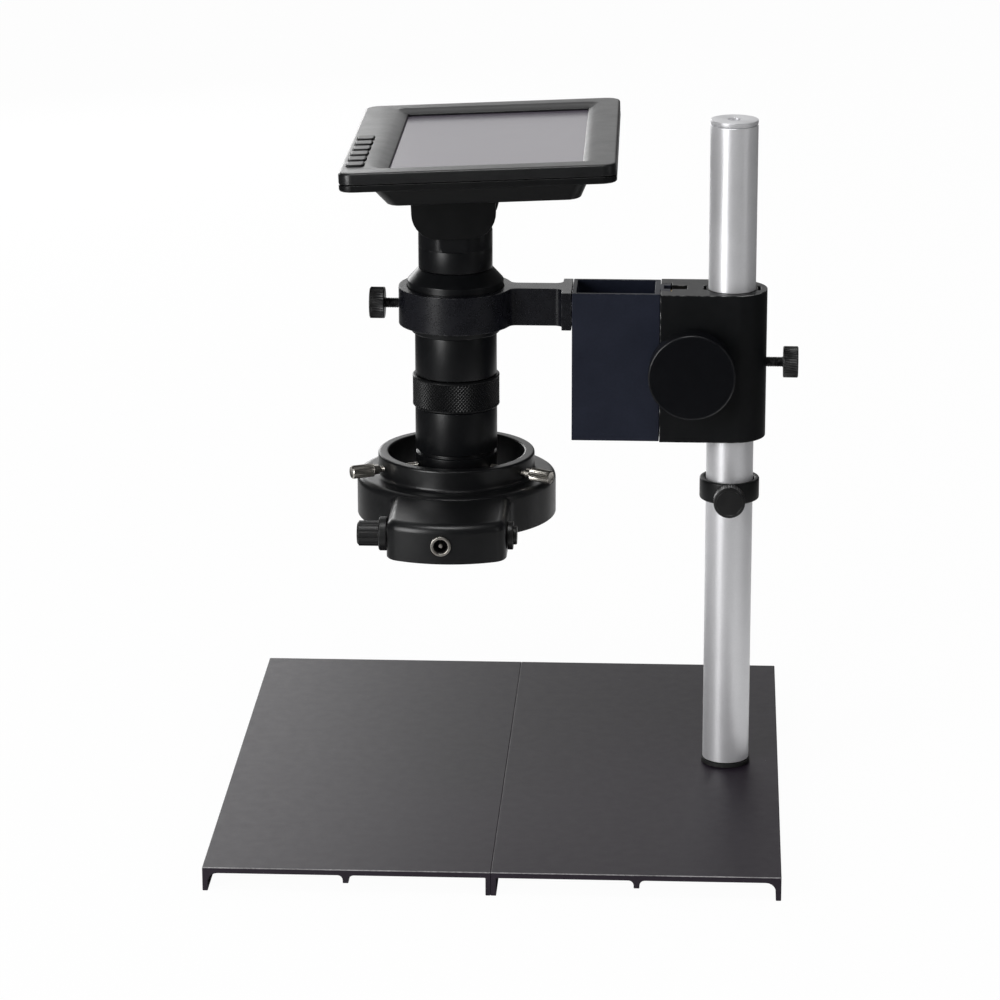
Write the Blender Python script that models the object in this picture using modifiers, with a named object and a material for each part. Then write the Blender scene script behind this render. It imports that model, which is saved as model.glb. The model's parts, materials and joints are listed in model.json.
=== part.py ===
"""Digital microscope with its own screen, on a pillar stand with a rack-and-pinion focus slide.

Metres, +Z up. The user sits on the -X side. The origin is the middle of the footprint, on the bench.
"""

import math

import bmesh
import bpy
from mathutils import Matrix

# Clearances between pieces
SEAT_GAP = 0.0003
RUN_GAP = 0.0003
BOLT_PLAY = 0.0003

# Base: two ribbed plates bolted together under their seam
PLATE_WIDTH = 0.129
BASE_DEPTH = 0.285
PLATE_THICKNESS = 0.0028
LEG_HEIGHT = 0.0112
LEG_THICKNESS = 0.0024
LEG_FILLET = 0.0044
RIB_DEPTH = 0.0037
RIB_THICKNESS = 0.0026
RIB_FILLET = 0.0023
RIB_FROM_EDGE = 0.0642
JOIN_BOLT_SPACING = 0.180
JOIN_BOLT_RADIUS = 0.002
JOIN_BOLT_HEAD_RADIUS = 0.0035
JOIN_BOLT_HEAD = 0.0028

# Pillar, its foot, cap and bolt
PILLAR_INSET = 0.025
PILLAR_BEHIND_MIDDLE = 0.0045
PILLAR_RADIUS = 0.011
PILLAR_TOP = 0.311
FOOT_RADIUS = 0.0115
FOOT_THICKNESS = 0.0018
CAP_THICKNESS = 0.0018
CAP_GROOVE = 0.0006
CAP_HOLE_RADIUS = 0.003
CAP_SPIGOT_RADIUS = 0.005
CAP_SPIGOT_LENGTH = 0.007
PILLAR_BOLT_RADIUS = 0.003
PILLAR_BOLT_HEAD_RADIUS = 0.005
PILLAR_BOLT_HEAD = 0.0036
PILLAR_BOLT_REACH = 0.018

# Hand screws: one pattern for the column clamp, the safety collar and the lens ring
HAND_SCREW_HEAD_RADIUS = 0.0073
HAND_SCREW_HEAD = 0.007
HAND_SCREW_RADIUS = 0.0024
HAND_SCREW_EDGE = 0.0006

# Safety collar
COLLAR_RADIUS = 0.014
COLLAR_HEIGHT = 0.010
COLLAR_ABOVE_BASE = 0.1314
COLLAR_CHAMFER = 0.0008
COLLAR_SCREW_REACH = 0.0273

# Column block, its liner and the clamp screw
BLOCK_ABOVE_BASE = 0.162
BLOCK_HEIGHT = 0.070
BLOCK_LENGTH = 0.0328
BLOCK_END_RADIUS = 0.0163
BLOCK_HALF_DEPTH = 0.016
LINER_WALL = 0.0006
LINER_SPLIT = 0.0015
BORE_SLOT_REACH = 0.0132
BORE_SLOT_HALF_DEPTH = 0.004
CLAMP_SCREW_REACH = 0.031

# Focus drive: involute pinion and rack
GEAR_MODULE = 0.0005
PINION_TEETH = 14
PRESSURE_ANGLE = math.radians(20)
TOOTH_PLAY = 0.00012
RACK_ADDENDUM = 0.00038
PINION_FROM_PILLAR = 0.018
PINION_LENGTH = 0.006
PINION_SHAFT_RADIUS = 0.0025
RACK_HALF_DEPTH = 0.0028
RACK_LENGTH = 0.066
RACK_SLOT_HALF_DEPTH = 0.0035
KNOB_RADIUS = 0.020
KNOB_THICKNESS = 0.012
KNOB_EDGE = 0.0012
KNOB_FACE_REACH = 0.0315
KNOB_HUB_RADIUS = 0.008
KNOB_RECESS = 0.003
KNOB_RIM = 0.003
KNOB_BORE_DEPTH = 0.009

# Dovetail between block and slider
DOVETAIL_NECK = 0.0057
DOVETAIL_TIP = 0.008
DOVETAIL_DEPTH = 0.0051

# Slider box
SLIDER_WIDTH = 0.040
SLIDER_HALF_DEPTH = 0.0144
SLIDER_WALL = 0.002
RACK_SCREW_RADIUS = 0.0013
RACK_SCREW_HEAD_RADIUS = 0.0026
RACK_SCREW_HEAD = 0.002
RACK_SCREW_SPACING = 0.044

# Lens arm
ARM_HEIGHT = 0.0176
ARM_BAR_HALF_DEPTH = 0.0058
ARM_FOOT = 0.0045
ARM_FILLET = 0.0034
RING_OUTER_RADIUS = 0.0265
LENS_REACH = 0.1277
ARM_SCREW_RADIUS = 0.0018
ARM_SCREW_HEAD_RADIUS = 0.0033
ARM_SCREW_HEAD = 0.003
ARM_SCREW_FROM_WALL = 0.0008
RING_SCREW_REACH = 0.0398

# Lens column; heights are above the base plate
ADAPTER_RADIUS = 0.0224
ADAPTER_TOP = 0.2406
CONE_HEIGHT = 0.0056
ADAPTER_LIP_RADIUS = 0.0206
ADAPTER_LIP = 0.0028
ADAPTER_BELOW_RING = 0.0010
CORE_RADIUS = 0.015
CORE_WALL = 0.0016
CORE_TOP = 0.232
UPPER_BARREL_RADIUS = 0.0191
UPPER_BARREL_LENGTH = 0.020
ZOOM_RING_RADIUS = 0.02035
ZOOM_RING_LENGTH = 0.0148
LOWER_BARREL_RADIUS = 0.0192
LOWER_BARREL_LENGTH = 0.0204
FRONT_CELL_RADIUS = 0.019
FRONT_CELL_LENGTH = 0.0142
FRONT_CELL_GROOVE = 0.0015
FRONT_CELL_GROOVE_DEPTH = 0.0012
FRONT_LENS_RADIUS = 0.0146
LENS_SEAT = 0.0012
LENS_EDGE = 0.0025
LENS_CROWN = 0.0018
LENS_SETBACK = 0.0030
ZOOM_LENS_HEIGHT = 0.180
REAR_LENS_HEIGHT = 0.222
BARREL_CHAMFER = 0.0005

# Camera on top of the lens
CAMERA_RADIUS = 0.0172
CAMERA_WALL = 0.0015
CAMERA_TUBE_TOP = 0.2504
CAMERA_HEAD_TOP = 0.2615
CAMERA_HEAD_CHAMFER = 0.0027
SENSOR_HEIGHT = 0.2462
SENSOR_BOARD = 0.0012
SENSOR_SIDE = 0.0095
SENSOR_THICKNESS = 0.0012

# Screen hinge
HINGE_ABOVE_BASE = 0.2719
HINGE_PIN_RADIUS = 0.0025
LUG_RADIUS = 0.0085
LUG_HALF_DEPTH = 0.0155
CHEEK_THICKNESS = 0.003
CHEEK_HALF_WIDTH = 0.01935
CHEEK_DROP = 0.0147
CHEEK_CORNER = 0.0119
CHEEK_PIN_DEPTH = 0.0015
BRACKET_PLATE = 0.0025
SCREEN_TURN = math.radians(0.9)
SCREEN_LEAN = math.radians(-2.3)
SCREEN_TILT = math.radians(-2.4)

# Screen, in its own frame with the hinge at its origin
SCREEN_CENTRE_X = 0.0151
SCREEN_FACE = 0.0304
SCREEN_WIDTH = 0.122
SCREEN_DEPTH = 0.1864
SCREEN_CORNER = 0.0062
SCREEN_EDGE = 0.0012
FRAME_THICKNESS = 0.0052
BAND_THICKNESS = 0.0086
SCREEN_THICKNESS = 0.0185
HUMP_RIM_INSET = 0.0123
HUMP_BACK_LEFT = 0.020
HUMP_BACK_RIGHT = 0.017
HUMP_BACK_END = 0.019
SHELL_WALL = 0.0018
LCD_VIEW_WIDTH = 0.0859
LCD_VIEW_DEPTH = 0.1541
LCD_FROM_LEFT = 0.0211
LCD_PANEL_WIDTH = 0.100
LCD_PANEL_DEPTH = 0.165
LCD_PANEL_THICKNESS = 0.003
BEZEL_SLOPE_WIDTH = 0.0053
BEZEL_SLOPE_DEPTH = 0.0022
BEZEL_LIP = 0.0008
VIEW_CORNER = 0.0008
SLOPE_CORNER = 0.0040
MAIN_BOARD_WIDTH = 0.082
MAIN_BOARD_DEPTH = 0.140
MAIN_BOARD_THICKNESS = 0.0016
HEAT_SPREADER_SIDE = 0.030
HEAT_SPREADER_THICKNESS = 0.003

# Screen buttons
BUTTON_COUNT = 6
BUTTON_WIDTH = 0.0075
BUTTON_DEPTH = 0.0092
BUTTON_CORNER = 0.0012
BUTTON_PITCH = 0.0139
BUTTON_FROM_LEFT = 0.0065
BUTTON_FROM_NEAR = 0.0222
BUTTON_PROUD = 0.0008
BUTTON_FLANGE = 0.0009
BUTTON_CAP_DEPTH = 0.0029
BUTTON_FLANGE_THICKNESS = 0.0016

# Ring light; heights are above the base plate
LIGHT_RADIUS = 0.0465
LIGHT_BOTTOM = 0.1234
LIGHT_SHOULDER = 0.1426
LIGHT_SHOULDER_ROUND = 0.0030
LIGHT_COLLAR_RADIUS = 0.0366
LIGHT_COLLAR_TOP = 0.1527
LIGHT_COLLAR_ROUND = 0.0008
LIGHT_COLLAR_FILLET = 0.0012
LIGHT_OPENING_RADIUS = 0.0318
LIGHT_WALL = 0.002
LED_BOARD_THICKNESS = 0.0012
LED_BOARD_RECESS = 0.0045
LED_RINGS = (0.0368, 0.0415)
LED_COUNTS = (16, 20)
LED_SIDE = 0.0022
LED_HEIGHT = 0.0010
COVER_THICKNESS = 0.0012
COVER_RECESS = 0.0006
LIGHT_SCREW_HEIGHT = 0.1474
LIGHT_SCREW_ANGLES = (90, 205, 330)
LIGHT_SCREW_RADIUS = 0.0014
LIGHT_SCREW_NECK_RADIUS = 0.0022
LIGHT_SCREW_NECK = 0.003
LIGHT_SCREW_HEAD_RADIUS = 0.0031
LIGHT_SCREW_HEAD = 0.011
LIGHT_SCREW_REACH = 0.0524

# Control box on the front of the ring light
BOX_HALF_WIDTH = 0.0272
BOX_FRONT_RADIUS = 0.0854
BOX_CORNER = 0.007
BOX_TOP = 0.1410
BOX_TOP_ROUND = 0.0025
BOX_FILLET = 0.006
BOX_WALL = 0.0022
BOX_COVER_THICKNESS = 0.0015
BOX_PART_HEIGHT = 0.1322
DIMMER_FROM_LENS = 0.0672
JACK_OFFSET = -0.0019
JACK_RING_RADIUS = 0.0048
JACK_RING = 0.0009
JACK_BARREL_RADIUS = 0.0040
JACK_BORE_RADIUS = 0.0030
JACK_BORE_DEPTH = 0.0085
JACK_PIN_RADIUS = 0.0009
JACK_PIN_SETBACK = 0.0010
JACK_LENGTH = 0.0125
DIMMER_SHAFT_RADIUS = 0.0028
DIMMER_SHAFT_PROUD = 0.0086
POT_RADIUS = 0.0058
POT_LENGTH = 0.0065
KNOB_SKIRT_RADIUS = 0.0078
KNOB_SKIRT = 0.0036
KNOB_GRIP_RADIUS = 0.0058
KNOB_GRIP = 0.0099
KNOB_RIBS = 12
KNOB_RIB_DEPTH = 0.0005
FUSE_COLLAR_RADIUS = 0.0068
FUSE_COLLAR = 0.0026
FUSE_CAP_RADIUS = 0.0045
FUSE_CAP = 0.0040
FUSE_BODY_RADIUS = 0.0036
FUSE_BODY = 0.0140
CONTROL_BOARD_WIDTH = 0.034
CONTROL_BOARD_DEPTH = 0.017
CONTROL_BOARD_THICKNESS = 0.0012
CONTROL_BOARD_HEIGHT = 0.1262

# Places worked out from the sizes above
TOTAL_WIDTH = 2 * PLATE_WIDTH - PILLAR_INSET + CLAMP_SCREW_REACH
BASE_LEFT = -TOTAL_WIDTH / 2
BASE_RIGHT = BASE_LEFT + 2 * PLATE_WIDTH
SEAM_X = BASE_LEFT + PLATE_WIDTH
PLATE_TOP = LEG_HEIGHT
PILLAR_X = BASE_RIGHT - PILLAR_INSET
AXIS_Y = PILLAR_BEHIND_MIDDLE
LENS_X = PILLAR_X - LENS_REACH
LINER_INNER = PILLAR_RADIUS + RUN_GAP
LINER_OUTER = LINER_INNER + LINER_WALL
BLOCK_BORE = LINER_OUTER + RUN_GAP
BLOCK_MIDDLE = PLATE_TOP + BLOCK_ABOVE_BASE + BLOCK_HEIGHT / 2
BLOCK_TOP = PLATE_TOP + BLOCK_ABOVE_BASE + BLOCK_HEIGHT
PINION_PITCH_RADIUS = GEAR_MODULE * PINION_TEETH / 2
PINION_TIP_RADIUS = PINION_PITCH_RADIUS + GEAR_MODULE
PINION_BORE = PINION_TIP_RADIUS + RUN_GAP
RACK_PITCH_X = PILLAR_X - PINION_FROM_PILLAR - PINION_PITCH_RADIUS
SLIDER_RIGHT = PILLAR_X - BLOCK_LENGTH - RUN_GAP * 2
SLIDER_LEFT = SLIDER_RIGHT - SLIDER_WIDTH
ARM_RIGHT = SLIDER_LEFT - SEAT_GAP
ARM_BOTTOM = BLOCK_TOP - ARM_HEIGHT
RING_BORE = ADAPTER_RADIUS + SEAT_GAP
LENS_BORE = CORE_RADIUS + SEAT_GAP
ADAPTER_BOTTOM = ARM_BOTTOM - ADAPTER_BELOW_RING - ADAPTER_LIP
UPPER_BARREL_TOP = ADAPTER_BOTTOM - SEAT_GAP
ZOOM_RING_TOP = UPPER_BARREL_TOP - UPPER_BARREL_LENGTH - SEAT_GAP
LOWER_BARREL_TOP = ZOOM_RING_TOP - ZOOM_RING_LENGTH - SEAT_GAP
FRONT_CELL_TOP = LOWER_BARREL_TOP - LOWER_BARREL_LENGTH - SEAT_GAP
FRONT_CELL_BOTTOM = FRONT_CELL_TOP - FRONT_CELL_LENGTH
HINGE_Z = PLATE_TOP + HINGE_ABOVE_BASE
CHEEK_INNER = LUG_HALF_DEPTH + RUN_GAP
CHEEK_OUTER = CHEEK_INNER + CHEEK_THICKNESS
SCREEN_BACK = SCREEN_FACE - SCREEN_THICKNESS
BRACKET_TOP = SCREEN_BACK - SEAT_GAP
LCD_CENTRE_X = SCREEN_CENTRE_X - SCREEN_WIDTH / 2 + LCD_FROM_LEFT + LCD_VIEW_WIDTH / 2
LCD_LIP_DEPTH = BEZEL_SLOPE_DEPTH + BEZEL_LIP
SHELL_TOP = FRAME_THICKNESS + SEAT_GAP
OPENING_INNER = LIGHT_OPENING_RADIUS + LIGHT_WALL
LIGHT_CAVITY = LIGHT_RADIUS - LIGHT_WALL

FINE = 44
ROUND = 30
MEDIUM = 18
SMALL = 10


def start_clean():
    for old in list(bpy.data.objects):
        bpy.data.objects.remove(old)


def new_collection(name):
    made = bpy.data.collections.new(name)
    bpy.context.scene.collection.children.link(made)
    return made


def finish(name, colour, roughness, metallic=0.0):
    made = bpy.data.materials.new(name)
    made.use_nodes = True
    shader = made.node_tree.nodes["Principled BSDF"]
    shader.inputs["Base Color"].default_value = (*colour, 1)
    shader.inputs["Roughness"].default_value = roughness
    shader.inputs["Metallic"].default_value = metallic
    made.diffuse_color = (*colour, 1)
    return made


start_clean()
PARTS = new_collection("digital_microscope")
CUTTERS = new_collection("cutters")
DARK_GREY = (0.030, 0.031, 0.034)
BLACK = (0.012, 0.012, 0.013)
BLUE_BLACK = (0.014, 0.018, 0.030)
SILVER = (0.62, 0.63, 0.65)
NICKEL = (0.55, 0.53, 0.49)
STEEL = (0.50, 0.50, 0.50)
BRASS = (0.60, 0.45, 0.20)
BOARD_GREEN = (0.02, 0.12, 0.05)
WHITE = (0.75, 0.76, 0.76)
LENS_GLASS = (0.55, 0.62, 0.66)
SCREEN_GREY = (0.030, 0.032, 0.036)


def holder(name, location, rotation=(0, 0, 0), parent=None):
    """An empty that carries the pieces turning about one axis."""
    made = bpy.data.objects.new(name, None)
    PARTS.objects.link(made)
    made.parent = parent
    made.location = location
    made.rotation_euler = rotation
    return made


def place(name, data, material, location=(0, 0, 0), rotation=(0, 0, 0), parent=None):
    """A part when it has a material, and a cutter when it has none."""
    made = bpy.data.objects.new(name, data)
    made.parent = parent
    made.location = location
    made.rotation_euler = rotation
    if material is None:
        CUTTERS.objects.link(made)
        made.hide_render = True
        made.display_type = "WIRE"
    else:
        PARTS.objects.link(made)
        data.materials.append(material)
    return made


def mesh_from(shape, name):
    """A mesh of a bmesh, smooth where it is round and sharp at its corners."""
    bmesh.ops.recalc_face_normals(shape, faces=shape.faces)
    data = bpy.data.meshes.new(name)
    shape.to_mesh(data)
    shape.free()
    if data.polygons:
        data.shade_smooth()
        data.set_sharp_from_angle(angle=math.radians(35))
    return data


def turned(name, profile, material, sides=ROUND, ring=False, **where):
    """A profile of (radius, height) points, top to bottom down its outer side, turned about Z."""
    shape = bmesh.new()
    points = [shape.verts.new((radius, 0, height)) for radius, height in profile]
    for start, end in zip(points, points[1:]):
        shape.edges.new((start, end))
    if ring:
        shape.edges.new((points[-1], points[0]))
    data = bpy.data.meshes.new(name)
    shape.to_mesh(data)
    shape.free()
    made = place(name, data, material, **where)
    screw = made.modifiers.new("turn", "SCREW")
    screw.axis = "Z"
    screw.angle = 2 * math.pi
    screw.steps = sides
    screw.render_steps = sides
    screw.use_merge_vertices = True
    screw.merge_threshold = 0.00001
    screw.use_smooth_shade = True
    return made


def prism(name, outline, height, material, holes=(), **where):
    """A flat outline with any holes in it, extruded from its own z = 0 up."""
    curve = bpy.data.curves.new(name, "CURVE")
    curve.dimensions = "2D"
    curve.fill_mode = "BOTH"
    curve.extrude = height / 2
    for loop in (outline, *holes):
        spline = curve.splines.new("POLY")
        spline.points.add(len(loop) - 1)
        for point, (x, y) in zip(spline.points, loop):
            point.co = (x, y, 0, 1)
        spline.use_cyclic_u = True
    drawn = bpy.data.objects.new(name + "_outline", curve)
    PARTS.objects.link(drawn)
    view = bpy.context.evaluated_depsgraph_get()
    flat = bpy.data.meshes.new_from_object(drawn.evaluated_get(view))
    bpy.data.objects.remove(drawn)
    shape = bmesh.new()
    shape.from_mesh(flat)
    bpy.data.meshes.remove(flat)
    bmesh.ops.remove_doubles(shape, verts=shape.verts, dist=0.000001)
    bmesh.ops.translate(shape, verts=shape.verts, vec=(0, 0, height / 2))
    return place(name, mesh_from(shape, name), material, **where)


def lofted(name, loops, material, ring=False, **where):
    """Loops of equal point counts joined in turn, capped at both ends or closed into a ring."""
    shape = bmesh.new()
    rows = [[shape.verts.new(point) for point in loop] for loop in loops]
    pairs = list(zip(rows, rows[1:]))
    if ring:
        pairs.append((rows[-1], rows[0]))
    for first, second in pairs:
        for i in range(len(first)):
            j = (i + 1) % len(first)
            shape.faces.new((first[i], first[j], second[j], second[i]))
    if not ring:
        shape.faces.new(rows[0])
        shape.faces.new(rows[-1])
    return place(name, mesh_from(shape, name), material, **where)


def block(name, size, material, **where):
    """A box of the given size about its own centre."""
    shape = bmesh.new()
    bmesh.ops.create_cube(shape, size=1)
    bmesh.ops.scale(shape, vec=size, verts=shape.verts)
    return place(name, mesh_from(shape, name), material, **where)


def rod(name, radius, length, material=None, sides=SMALL, **where):
    """A plain cylinder about its own centre, along its Z."""
    shape = bmesh.new()
    bmesh.ops.create_cone(
        shape, cap_ends=True, segments=sides, radius1=radius, radius2=radius, depth=length
    )
    return place(name, mesh_from(shape, name), material, **where)


def combine(part, other, operation):
    step = part.modifiers.new(other.name, "BOOLEAN")
    step.operation = operation
    step.solver = "EXACT"
    step.object = other


def cut(part, *cutters):
    for cutter in cutters:
        combine(part, cutter, "DIFFERENCE")


def join(part, *others):
    for other in others:
        combine(part, other, "UNION")


def arc(centre, radius, start, end, steps):
    """Points on an arc, angles in degrees, both ends included."""
    turns = [math.radians(start + (end - start) * i / steps) for i in range(steps + 1)]
    return [(centre[0] + radius * math.cos(a), centre[1] + radius * math.sin(a)) for a in turns]


def circle(radius, sides, centre=(0, 0)):
    return arc(centre, radius, 0, 360, sides)[:-1]


def rounded_rectangle(left, right, near, far, radius, steps=4):
    corners = (
        ((right - radius, far - radius), 0),
        ((left + radius, far - radius), 90),
        ((left + radius, near + radius), 180),
        ((right - radius, near + radius), 270),
    )
    points = []
    for centre, start in corners:
        points += arc(centre, radius, start, start + 90, steps)
    return points


def at_height(outline, z):
    return [(x, y, z) for x, y in outline]


def screw_profile(head_radius, head, shank_radius, length, edge):
    """A headed screw whose tip is at z = 0 and whose head's outer face is at z = length."""
    return [
        (0, length),
        (head_radius - edge, length),
        (head_radius, length - edge),
        (head_radius, length - head + edge),
        (head_radius - edge, length - head),
        (shank_radius, length - head),
        (shank_radius, edge),
        (shank_radius - edge, 0),
        (0, 0),
    ]


ALONG_X = (0, math.radians(90), 0)
ALONG_MINUS_X = (0, math.radians(-90), 0)
ALONG_MINUS_Y = (math.radians(90), 0, 0)
ALONG_Y = (math.radians(-90), 0, 0)


def base_outline():
    """Section of the left plate: outer leg at x = 0, seam leg at x = PLATE_WIDTH, top at z = 0."""
    under = -PLATE_THICKNESS
    rib_left = RIB_FROM_EDGE - RIB_THICKNESS / 2
    rib_right = RIB_FROM_EDGE + RIB_THICKNESS / 2
    rib_bottom = under - RIB_DEPTH
    return [
        (0, 0),
        (PLATE_WIDTH, 0),
        (PLATE_WIDTH, -LEG_HEIGHT),
        (PLATE_WIDTH - LEG_THICKNESS, -LEG_HEIGHT),
        (PLATE_WIDTH - LEG_THICKNESS, under),
        *arc((rib_right + RIB_FILLET, under - RIB_FILLET), RIB_FILLET, 90, 180, 4),
        (rib_right, rib_bottom),
        (rib_left, rib_bottom),
        *arc((rib_left - RIB_FILLET, under - RIB_FILLET), RIB_FILLET, 0, 90, 4),
        *arc((LEG_THICKNESS + LEG_FILLET, under - LEG_FILLET), LEG_FILLET, 90, 180, 5),
        (LEG_THICKNESS, -LEG_HEIGHT),
        (0, -LEG_HEIGHT),
    ]


def make_base():
    grey = finish("base_anodised", DARK_GREY, 0.45, 0.6)
    steel = finish("base_bolt_steel", STEEL, 0.35, 1.0)
    section = base_outline()
    mirrored = [(-x, z) for x, z in reversed(section)]
    behind = BASE_DEPTH / 2
    left = prism("base_plate_left", section, BASE_DEPTH, grey,
                 location=(BASE_LEFT - SEAT_GAP / 2, behind, PLATE_TOP), rotation=ALONG_MINUS_Y)
    right = prism("base_plate_right", mirrored, BASE_DEPTH, grey,
                  location=(BASE_RIGHT, behind, PLATE_TOP), rotation=ALONG_MINUS_Y)
    left.location.x = BASE_LEFT
    seam_leg_middle = (LEG_HEIGHT - PLATE_THICKNESS) / 2
    grip = 2 * LEG_THICKNESS + 2 * SEAT_GAP
    for number, side in ((1, -1), (2, 1)):
        bolt_y = side * JOIN_BOLT_SPACING / 2
        hole = rod(f"join_bolt_hole_{number}", JOIN_BOLT_RADIUS + BOLT_PLAY, 2 * grip,
                   location=(SEAM_X, bolt_y, seam_leg_middle), rotation=ALONG_X)
        cut(left, hole)
        cut(right, hole)
        turned(f"joining_bolt_{number}",
               screw_profile(JOIN_BOLT_HEAD_RADIUS, JOIN_BOLT_HEAD, JOIN_BOLT_RADIUS,
                             grip + 2 * JOIN_BOLT_HEAD, JOIN_BOLT_HEAD / 6),
               steel, SMALL,
               location=(SEAM_X + LEG_THICKNESS + JOIN_BOLT_HEAD, bolt_y, seam_leg_middle),
               rotation=ALONG_MINUS_X)
    cut(right, rod("pillar_bolt_hole", PILLAR_BOLT_RADIUS + BOLT_PLAY, 4 * PLATE_THICKNESS, sides=24,
                   location=(PILLAR_X, AXIS_Y, PLATE_TOP)))


def make_pillar():
    silver = finish("pillar_anodised", SILVER, 0.32, 1.0)
    black = finish("pillar_foot_black", BLACK, 0.6)
    steel = finish("pillar_bolt_steel", STEEL, 0.35, 1.0)
    foot_bottom = PLATE_TOP + SEAT_GAP
    pillar_bottom = foot_bottom + FOOT_THICKNESS + SEAT_GAP
    top = PLATE_TOP + PILLAR_TOP
    pillar_top = top - CAP_THICKNESS - CAP_GROOVE
    bolt_hole = PILLAR_BOLT_RADIUS + BOLT_PLAY
    spigot_hole = CAP_SPIGOT_RADIUS + SEAT_GAP
    spigot_floor = pillar_top - CAP_SPIGOT_LENGTH - CAP_GROOVE
    bolt_top = pillar_bottom + PILLAR_BOLT_REACH
    where = {"location": (PILLAR_X, AXIS_Y, 0)}
    turned("pillar_foot",
           [(bolt_hole, foot_bottom + FOOT_THICKNESS), (FOOT_RADIUS, foot_bottom + FOOT_THICKNESS),
            (FOOT_RADIUS, foot_bottom), (bolt_hole, foot_bottom)], black, ring=True, **where)
    turned("pillar",
           [(0, spigot_floor), (spigot_hole, spigot_floor), (spigot_hole, pillar_top),
            (PILLAR_RADIUS - CAP_GROOVE / 2, pillar_top), (PILLAR_RADIUS, pillar_top - CAP_GROOVE / 2),
            (PILLAR_RADIUS, pillar_bottom), (bolt_hole, pillar_bottom),
            (bolt_hole, bolt_top + SEAT_GAP), (0, bolt_top + SEAT_GAP)], silver, **where)
    cap_under = top - CAP_THICKNESS
    turned("pillar_cap",
           [(CAP_HOLE_RADIUS, top), (PILLAR_RADIUS - CAP_GROOVE / 2, top),
            (PILLAR_RADIUS, top - CAP_GROOVE / 2), (PILLAR_RADIUS, cap_under),
            (PILLAR_RADIUS - CAP_GROOVE, cap_under),
            (PILLAR_RADIUS - CAP_GROOVE, pillar_top + SEAT_GAP),
            (CAP_SPIGOT_RADIUS, pillar_top + SEAT_GAP),
            (CAP_SPIGOT_RADIUS, pillar_top - CAP_SPIGOT_LENGTH),
            (CAP_HOLE_RADIUS, pillar_top - CAP_SPIGOT_LENGTH)], silver, ring=True, **where)
    head_top = PLATE_TOP - PLATE_THICKNESS - SEAT_GAP
    bolt_length = bolt_top - head_top + PILLAR_BOLT_HEAD
    turned("pillar_bolt",
           screw_profile(PILLAR_BOLT_HEAD_RADIUS, PILLAR_BOLT_HEAD, PILLAR_BOLT_RADIUS,
                         bolt_length, PILLAR_BOLT_HEAD / 8),
           steel, 24, location=(PILLAR_X, AXIS_Y, bolt_top), rotation=(math.pi, 0, 0))


def hand_screw(name, reach, tip, material, location, rotation):
    """A knurled hand screw from its tip's distance to its head's outer face, off one axis."""
    return turned(name,
                  [(radius, height + tip) for radius, height in
                   screw_profile(HAND_SCREW_HEAD_RADIUS, HAND_SCREW_HEAD, HAND_SCREW_RADIUS,
                                 reach - tip, HAND_SCREW_EDGE)],
                  material, MEDIUM, location=location, rotation=rotation)


def make_collar():
    black = finish("collar_black", BLACK, 0.4, 0.5)
    bottom = PLATE_TOP + COLLAR_ABOVE_BASE
    top = bottom + COLLAR_HEIGHT
    bore = PILLAR_RADIUS + RUN_GAP
    chamfer = COLLAR_CHAMFER
    middle = (bottom + top) / 2
    collar = turned("safety_collar",
                    [(bore + chamfer, top), (COLLAR_RADIUS - chamfer, top),
                     (COLLAR_RADIUS, top - chamfer), (COLLAR_RADIUS, bottom + chamfer),
                     (COLLAR_RADIUS - chamfer, bottom), (bore + chamfer, bottom),
                     (bore, bottom + chamfer), (bore, top - chamfer)],
                    black, ring=True, location=(PILLAR_X, AXIS_Y, 0))
    cut(collar, rod("collar_screw_hole", HAND_SCREW_RADIUS + BOLT_PLAY, COLLAR_RADIUS,
                    location=(PILLAR_X, AXIS_Y - COLLAR_RADIUS, middle), rotation=ALONG_MINUS_Y))
    hand_screw("collar_screw", COLLAR_SCREW_REACH, PILLAR_RADIUS + SEAT_GAP,
               finish("collar_screw_black", BLACK, 0.45, 0.3),
               (PILLAR_X, AXIS_Y, middle), ALONG_MINUS_Y)


def split_ring(inner, outer, split, steps):
    """A ring outline with one gap of the given width, open towards +Y."""
    half = math.degrees(split / 2 / inner)
    outside = arc((0, 0), outer, 90 + half, 450 - half, steps)
    inside = arc((0, 0), inner, 450 - half, 90 + half, steps)
    return outside + inside


def block_outline():
    """Plan of the column block about the pillar axis, with the dovetail channel on its left."""
    left = -BLOCK_LENGTH
    reach = math.degrees(math.acos(BLOCK_HALF_DEPTH / BLOCK_END_RADIUS))
    shoulder = left + DOVETAIL_DEPTH
    slot_end = -PINION_FROM_PILLAR - PINION_PITCH_RADIUS + GEAR_MODULE + RUN_GAP
    return [
        *arc((0, 0), BLOCK_END_RADIUS, reach - 90, 90 - reach, 24),
        (left, BLOCK_HALF_DEPTH),
        (left, DOVETAIL_NECK),
        (shoulder, DOVETAIL_TIP),
        (shoulder, RACK_SLOT_HALF_DEPTH),
        (slot_end, RACK_SLOT_HALF_DEPTH),
        (slot_end, -RACK_SLOT_HALF_DEPTH),
        (shoulder, -RACK_SLOT_HALF_DEPTH),
        (shoulder, -DOVETAIL_TIP),
        (left, -DOVETAIL_NECK),
        (left, -BLOCK_HALF_DEPTH),
    ]


def slotted_bore():
    """Plan of the block's bore: a round hole with a straight keyway on each side."""
    half = math.degrees(math.asin(BORE_SLOT_HALF_DEPTH / BLOCK_BORE))
    return [
        *arc((0, 0), BLOCK_BORE, half, 180 - half, 18),
        (-BORE_SLOT_REACH, BORE_SLOT_HALF_DEPTH),
        (-BORE_SLOT_REACH, -BORE_SLOT_HALF_DEPTH),
        *arc((0, 0), BLOCK_BORE, 180 + half, 360 - half, 18),
        (BORE_SLOT_REACH, -BORE_SLOT_HALF_DEPTH),
        (BORE_SLOT_REACH, BORE_SLOT_HALF_DEPTH),
    ]


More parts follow.
